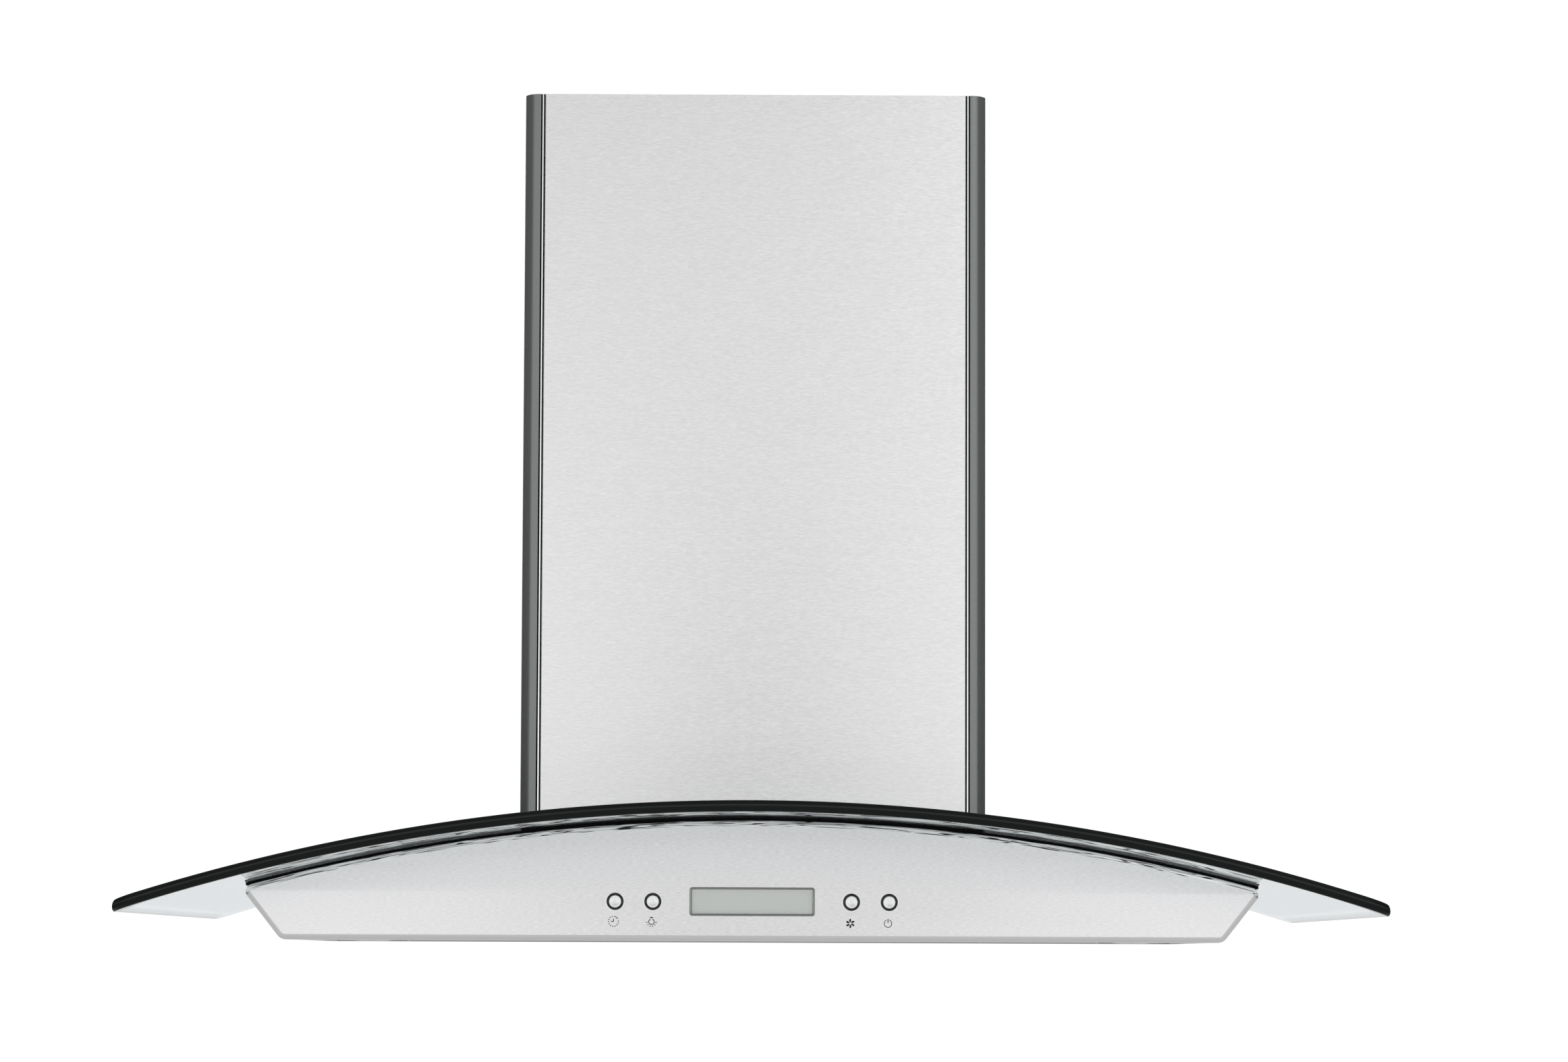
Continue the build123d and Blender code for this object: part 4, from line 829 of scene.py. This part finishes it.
def stroke(path, width):
    """The outline of a line of even width drawn along a path, with the ink's spread on both sides."""
    path = np.array(path, dtype=float)
    along = np.gradient(path, axis=0)
    side = np.stack([-along[:, 1], along[:, 0]], 1) / np.hypot(*along.T)[:, None] * (width / 2 + ink_spread)
    return np.concatenate([path + side, (path - side)[::-1]])


def arc(radius, start, end, count=24):
    """Points on an arc about the origin, from one angle in degrees to another."""
    turn = np.radians(np.linspace(start, end, count))
    return np.stack([radius * np.cos(turn), radius * np.sin(turn)], 1)


def turned_by(shape, degrees):
    """A shape turned about the origin."""
    t = math.radians(degrees)
    return shape @ [[math.cos(t), math.sin(t)], [-math.sin(t), math.cos(t)]]


# The clock: eleven dashes and an arc round two hands.
dial = 3.6
clock = [stroke(arc(dial, 26 * i + 100, 26 * i + 111, 5), 0.7) for i in range(11)]
clock.append(stroke(arc(dial, 30, 84, 16), 0.45))
clock += [stroke([(0, 2.1), (0, 1), (0, -0.2)], 0.5), stroke([(0.2, 0), (-0.9, 0), (-1.9, 0)], 0.5)]
# The lamp: a bulb that hangs from its cap, and six rays.
bulb = [stroke(np.concatenate([[(-0.75, 1.9)], arc(2.0, 125, 415, 30) - (0, 0.2), [(0.75, 1.9)]]), 0.5)]
bulb.append(stroke([(-1.2, 2.9), (0, 2.9), (1.2, 2.9)], 0.7))
ray = np.array([(3.0, 0), (3.4, 0), (3.8, 0)])
bulb += [stroke(turned_by(ray, degrees) - (0, 0.2), 0.6) for degrees in range(190, 351, 32)]
# The fan: six bent blades.
sweep = np.linspace(0, 2 * math.pi, 25)[:-1]
blade = np.stack([2.1 + 1.35 * np.cos(sweep), 0.72 * np.sin(sweep) - 0.55 * np.cos(sweep)**2 + 0.2], 1)
fan = [turned_by(blade, degrees) for degrees in range(30, 390, 60)]
# The power sign: an open ring and a bar.
power = [stroke(arc(2.75, 112, 428, 60), 0.42), stroke([(0, 3.4), (0, 2), (0, 0.4)], 0.55)]
# Each symbol, and its place from the middle of its button.
icons = {"timer": (clock, (-1.1, -14.6)), "light": (bulb, (-0.9, -14.6)),
         "speed": (fan, (-0.9, -15.5)), "power": (power, (-0.9, -15.5))}
icon_parts = []
for name, (lines, shift) in icons.items():
    for line in lines:
        icon_parts += decal(line + shift + button_spots[name])
# Pad-printing ink is dead flat black and slightly uneven where the pad lifts.
printed_ink = grained("printed_ink", "141414", 0.7, 900.0, 0.00001, contrast=0.25)
mesh_piece("control_icons", icon_parts, [printed_ink], "hood")

# ------------------------------------------------------------------ control board and its cover
# A green glass-fibre board on white nylon standoffs, in a moulded black cover.
board = grained("green_solder_mask", "1d5c36", 0.35, 260.0, 0.00005, contrast=0.35)
black_plastic = grained("moulded_black_abs", "101010", 0.4, 1400.0, 0.0001)
dress(board, "control_board")
dress(black_plastic, "control_cover", "control_standoffs")

# ------------------------------------------------------------------ baffle filters
# A folded frame and two layers of roll-formed stainless channels that face each other, so that
# the air must turn twice. The folds are rounded, 1.2 mm on the outside.
filter_steel = brushed_steel("bright_filter_steel", "dcdcdc", 0.22, streak=0.08, bump=0.03, grain=level_grain)
channel_width = 16.0
channel_sheet = 0.8
channel_gap = 0.3
fold = 1.2
lower_count = 8


def channel_profile(height):
    """A channel seen from its end, open below: outer line and inner line, from foot to foot."""
    lines = []
    for inset, radius in ((0.0, fold), (channel_sheet, fold - channel_sheet)):
        half = channel_width / 2 - inset
        turn = np.radians(np.linspace(180, 90, 6))
        corner = np.stack([-half + radius + radius * np.cos(turn),
                           height - inset - radius + radius * np.sin(turn)], 1)
        line = np.concatenate([[(-half, 0.0)], corner])
        lines.append(np.concatenate([line, line[::-1] * (-1, 1)]))
    return lines


for name in ("left", "right"):
    low, high = box_mm(f"filter_baffles_{name}")
    layer = (high[2] - low[2]) / 2 - channel_gap
    pitch = (high[1] - low[1] - channel_width) / (lower_count - 1)
    outer, inner = channel_profile(layer)
    parts = []
    for i in range(2 * lower_count - 1):
        flip, base = (-1, high[2]) if i % 2 else (1, low[2])
        y = low[1] + channel_width / 2 + i * pitch / 2
        walls = [np.stack([np.column_stack([np.full(len(line), x), y + line[:, 0], base + flip * line[:, 1]])
                           for x in (low[0], high[0])])
                 for line in (outer, inner)]
        parts += [(walls[0], 0), (walls[1], 0)]
        parts += [(np.stack([walls[0][k], walls[1][k]]), 0) for k in (0, 1)]
        parts += [(np.stack([walls[0][:, k], walls[1][:, k]]), 0) for k in (0, -1)]
    mesh_piece(f"baffles_{name}", parts, [filter_steel], f"filter_{name}",
               [f"filter_baffles_{name}"])
    dress(filter_steel, f"filter_frame_{name}", f"filter_baffles_{name}", f"filter_latch_{name}")

# ------------------------------------------------------------------ lamps
# Spun aluminium bezels and finned housings, with a pressed lens whose pebbles are 2.5 mm across.
aluminium = grained("spun_aluminium", "c8c8c8", 0.35, 700.0, 0.00005, contrast=0.05, Metallic=1.0)
dress(aluminium, "lamp_bezels", "lamp_housings")
pressed_lens = new_material("pressed_lens", Base_Color=linear("f0f0ec"), Roughness=0.25, IOR=1.5)
tree = pressed_lens.node_tree
place = add_node(tree, "ShaderNodeTexCoord")
pebble = add_node(tree, "ShaderNodeTexVoronoi", {"Vector": place.outputs["Object"]}, {"Scale": 400.0})
relief = add_node(tree, "ShaderNodeBump", {"Height": pebble.outputs["Distance"]},
                  {"Strength": 0.5, "Distance": 0.0005})
tree.links.new(relief.outputs[0], tree.nodes["Principled BSDF"].inputs["Normal"])
dress(pressed_lens, "lamp_lenses")

# ------------------------------------------------------------------ telescopic frame and fastenings
# Angles and plates of hot-dip galvanised steel. The zinc freezes in grey crystals about 8 mm
# across, each with its own tone and gloss.
def galvanised(name, colour, rough, spangle):
    """Zinc-coated steel: flat crystals, spangle of them to the metre."""
    material = new_material(name, Base_Color=linear(colour), Metallic=0.9, Roughness=rough)
    tree = material.node_tree
    shader = tree.nodes["Principled BSDF"]
    place = add_node(tree, "ShaderNodeTexCoord")
    crystals = add_node(tree, "ShaderNodeTexVoronoi", {"Vector": place.outputs["Object"]}, {"Scale": spangle})
    step = add_node(tree, "ShaderNodeSeparateColor", {0: crystals.outputs["Color"]})
    tone = add_node(tree, "ShaderNodeMapRange", {"Value": step.outputs[0]}, {"To Min": 0.88, "To Max": 1.08})
    shade = add_node(tree, "ShaderNodeVectorMath", {"Scale": tone.outputs[0]}, {0: linear(colour)[:3]},
                     operation="SCALE")
    gloss = add_node(tree, "ShaderNodeMapRange", {"Value": step.outputs[1]},
                     {"To Min": rough - 0.08, "To Max": rough + 0.1})
    tree.links.new(shade.outputs[0], shader.inputs["Base Color"])
    tree.links.new(gloss.outputs[0], shader.inputs["Roughness"])
    return material


zinc = galvanised("hot_dip_zinc", "b6babc", 0.42, 120.0)
dress(zinc, "ceiling_plate", "upper_frame_posts", "upper_frame_braces", "lower_frame_posts",
      "lower_frame_braces", "blower_hangers", "motor_bracket", "glass_clips")
plated = grained("bright_zinc_plate", "c2c2be", 0.3, 1500.0, 0.00005, contrast=0.06, Metallic=1.0)
dress(plated, "foot_bolts", "frame_bolts", "chimney_screws", "motor_shaft", "damper_pin")

# ------------------------------------------------------------------ blower, duct and supply box
# A zinc drum and rings, a moulded nylon wheel and flaps, and a motor in stoved black enamel.
dress(galvanised("rolled_zinc_drum", "acb0b2", 0.38, 90.0), "blower_housing", "inlet_rings")
dress(grained("glass_filled_nylon", "262626", 0.45, 1800.0, 0.0001, contrast=0.15), "impeller")
dress(grained("stoved_black_enamel", "1c1c1e", 0.3, 1100.0, 0.0001), "motor")
dress(black_rubber, "motor_mounts")
grey_abs = grained("moulded_grey_abs", "5c5c5e", 0.42, 1400.0, 0.0001, contrast=0.06)
dress(grey_abs, "duct_collar", "damper_flap_front", "damper_flap_back", "junction_box", "cable_gland")
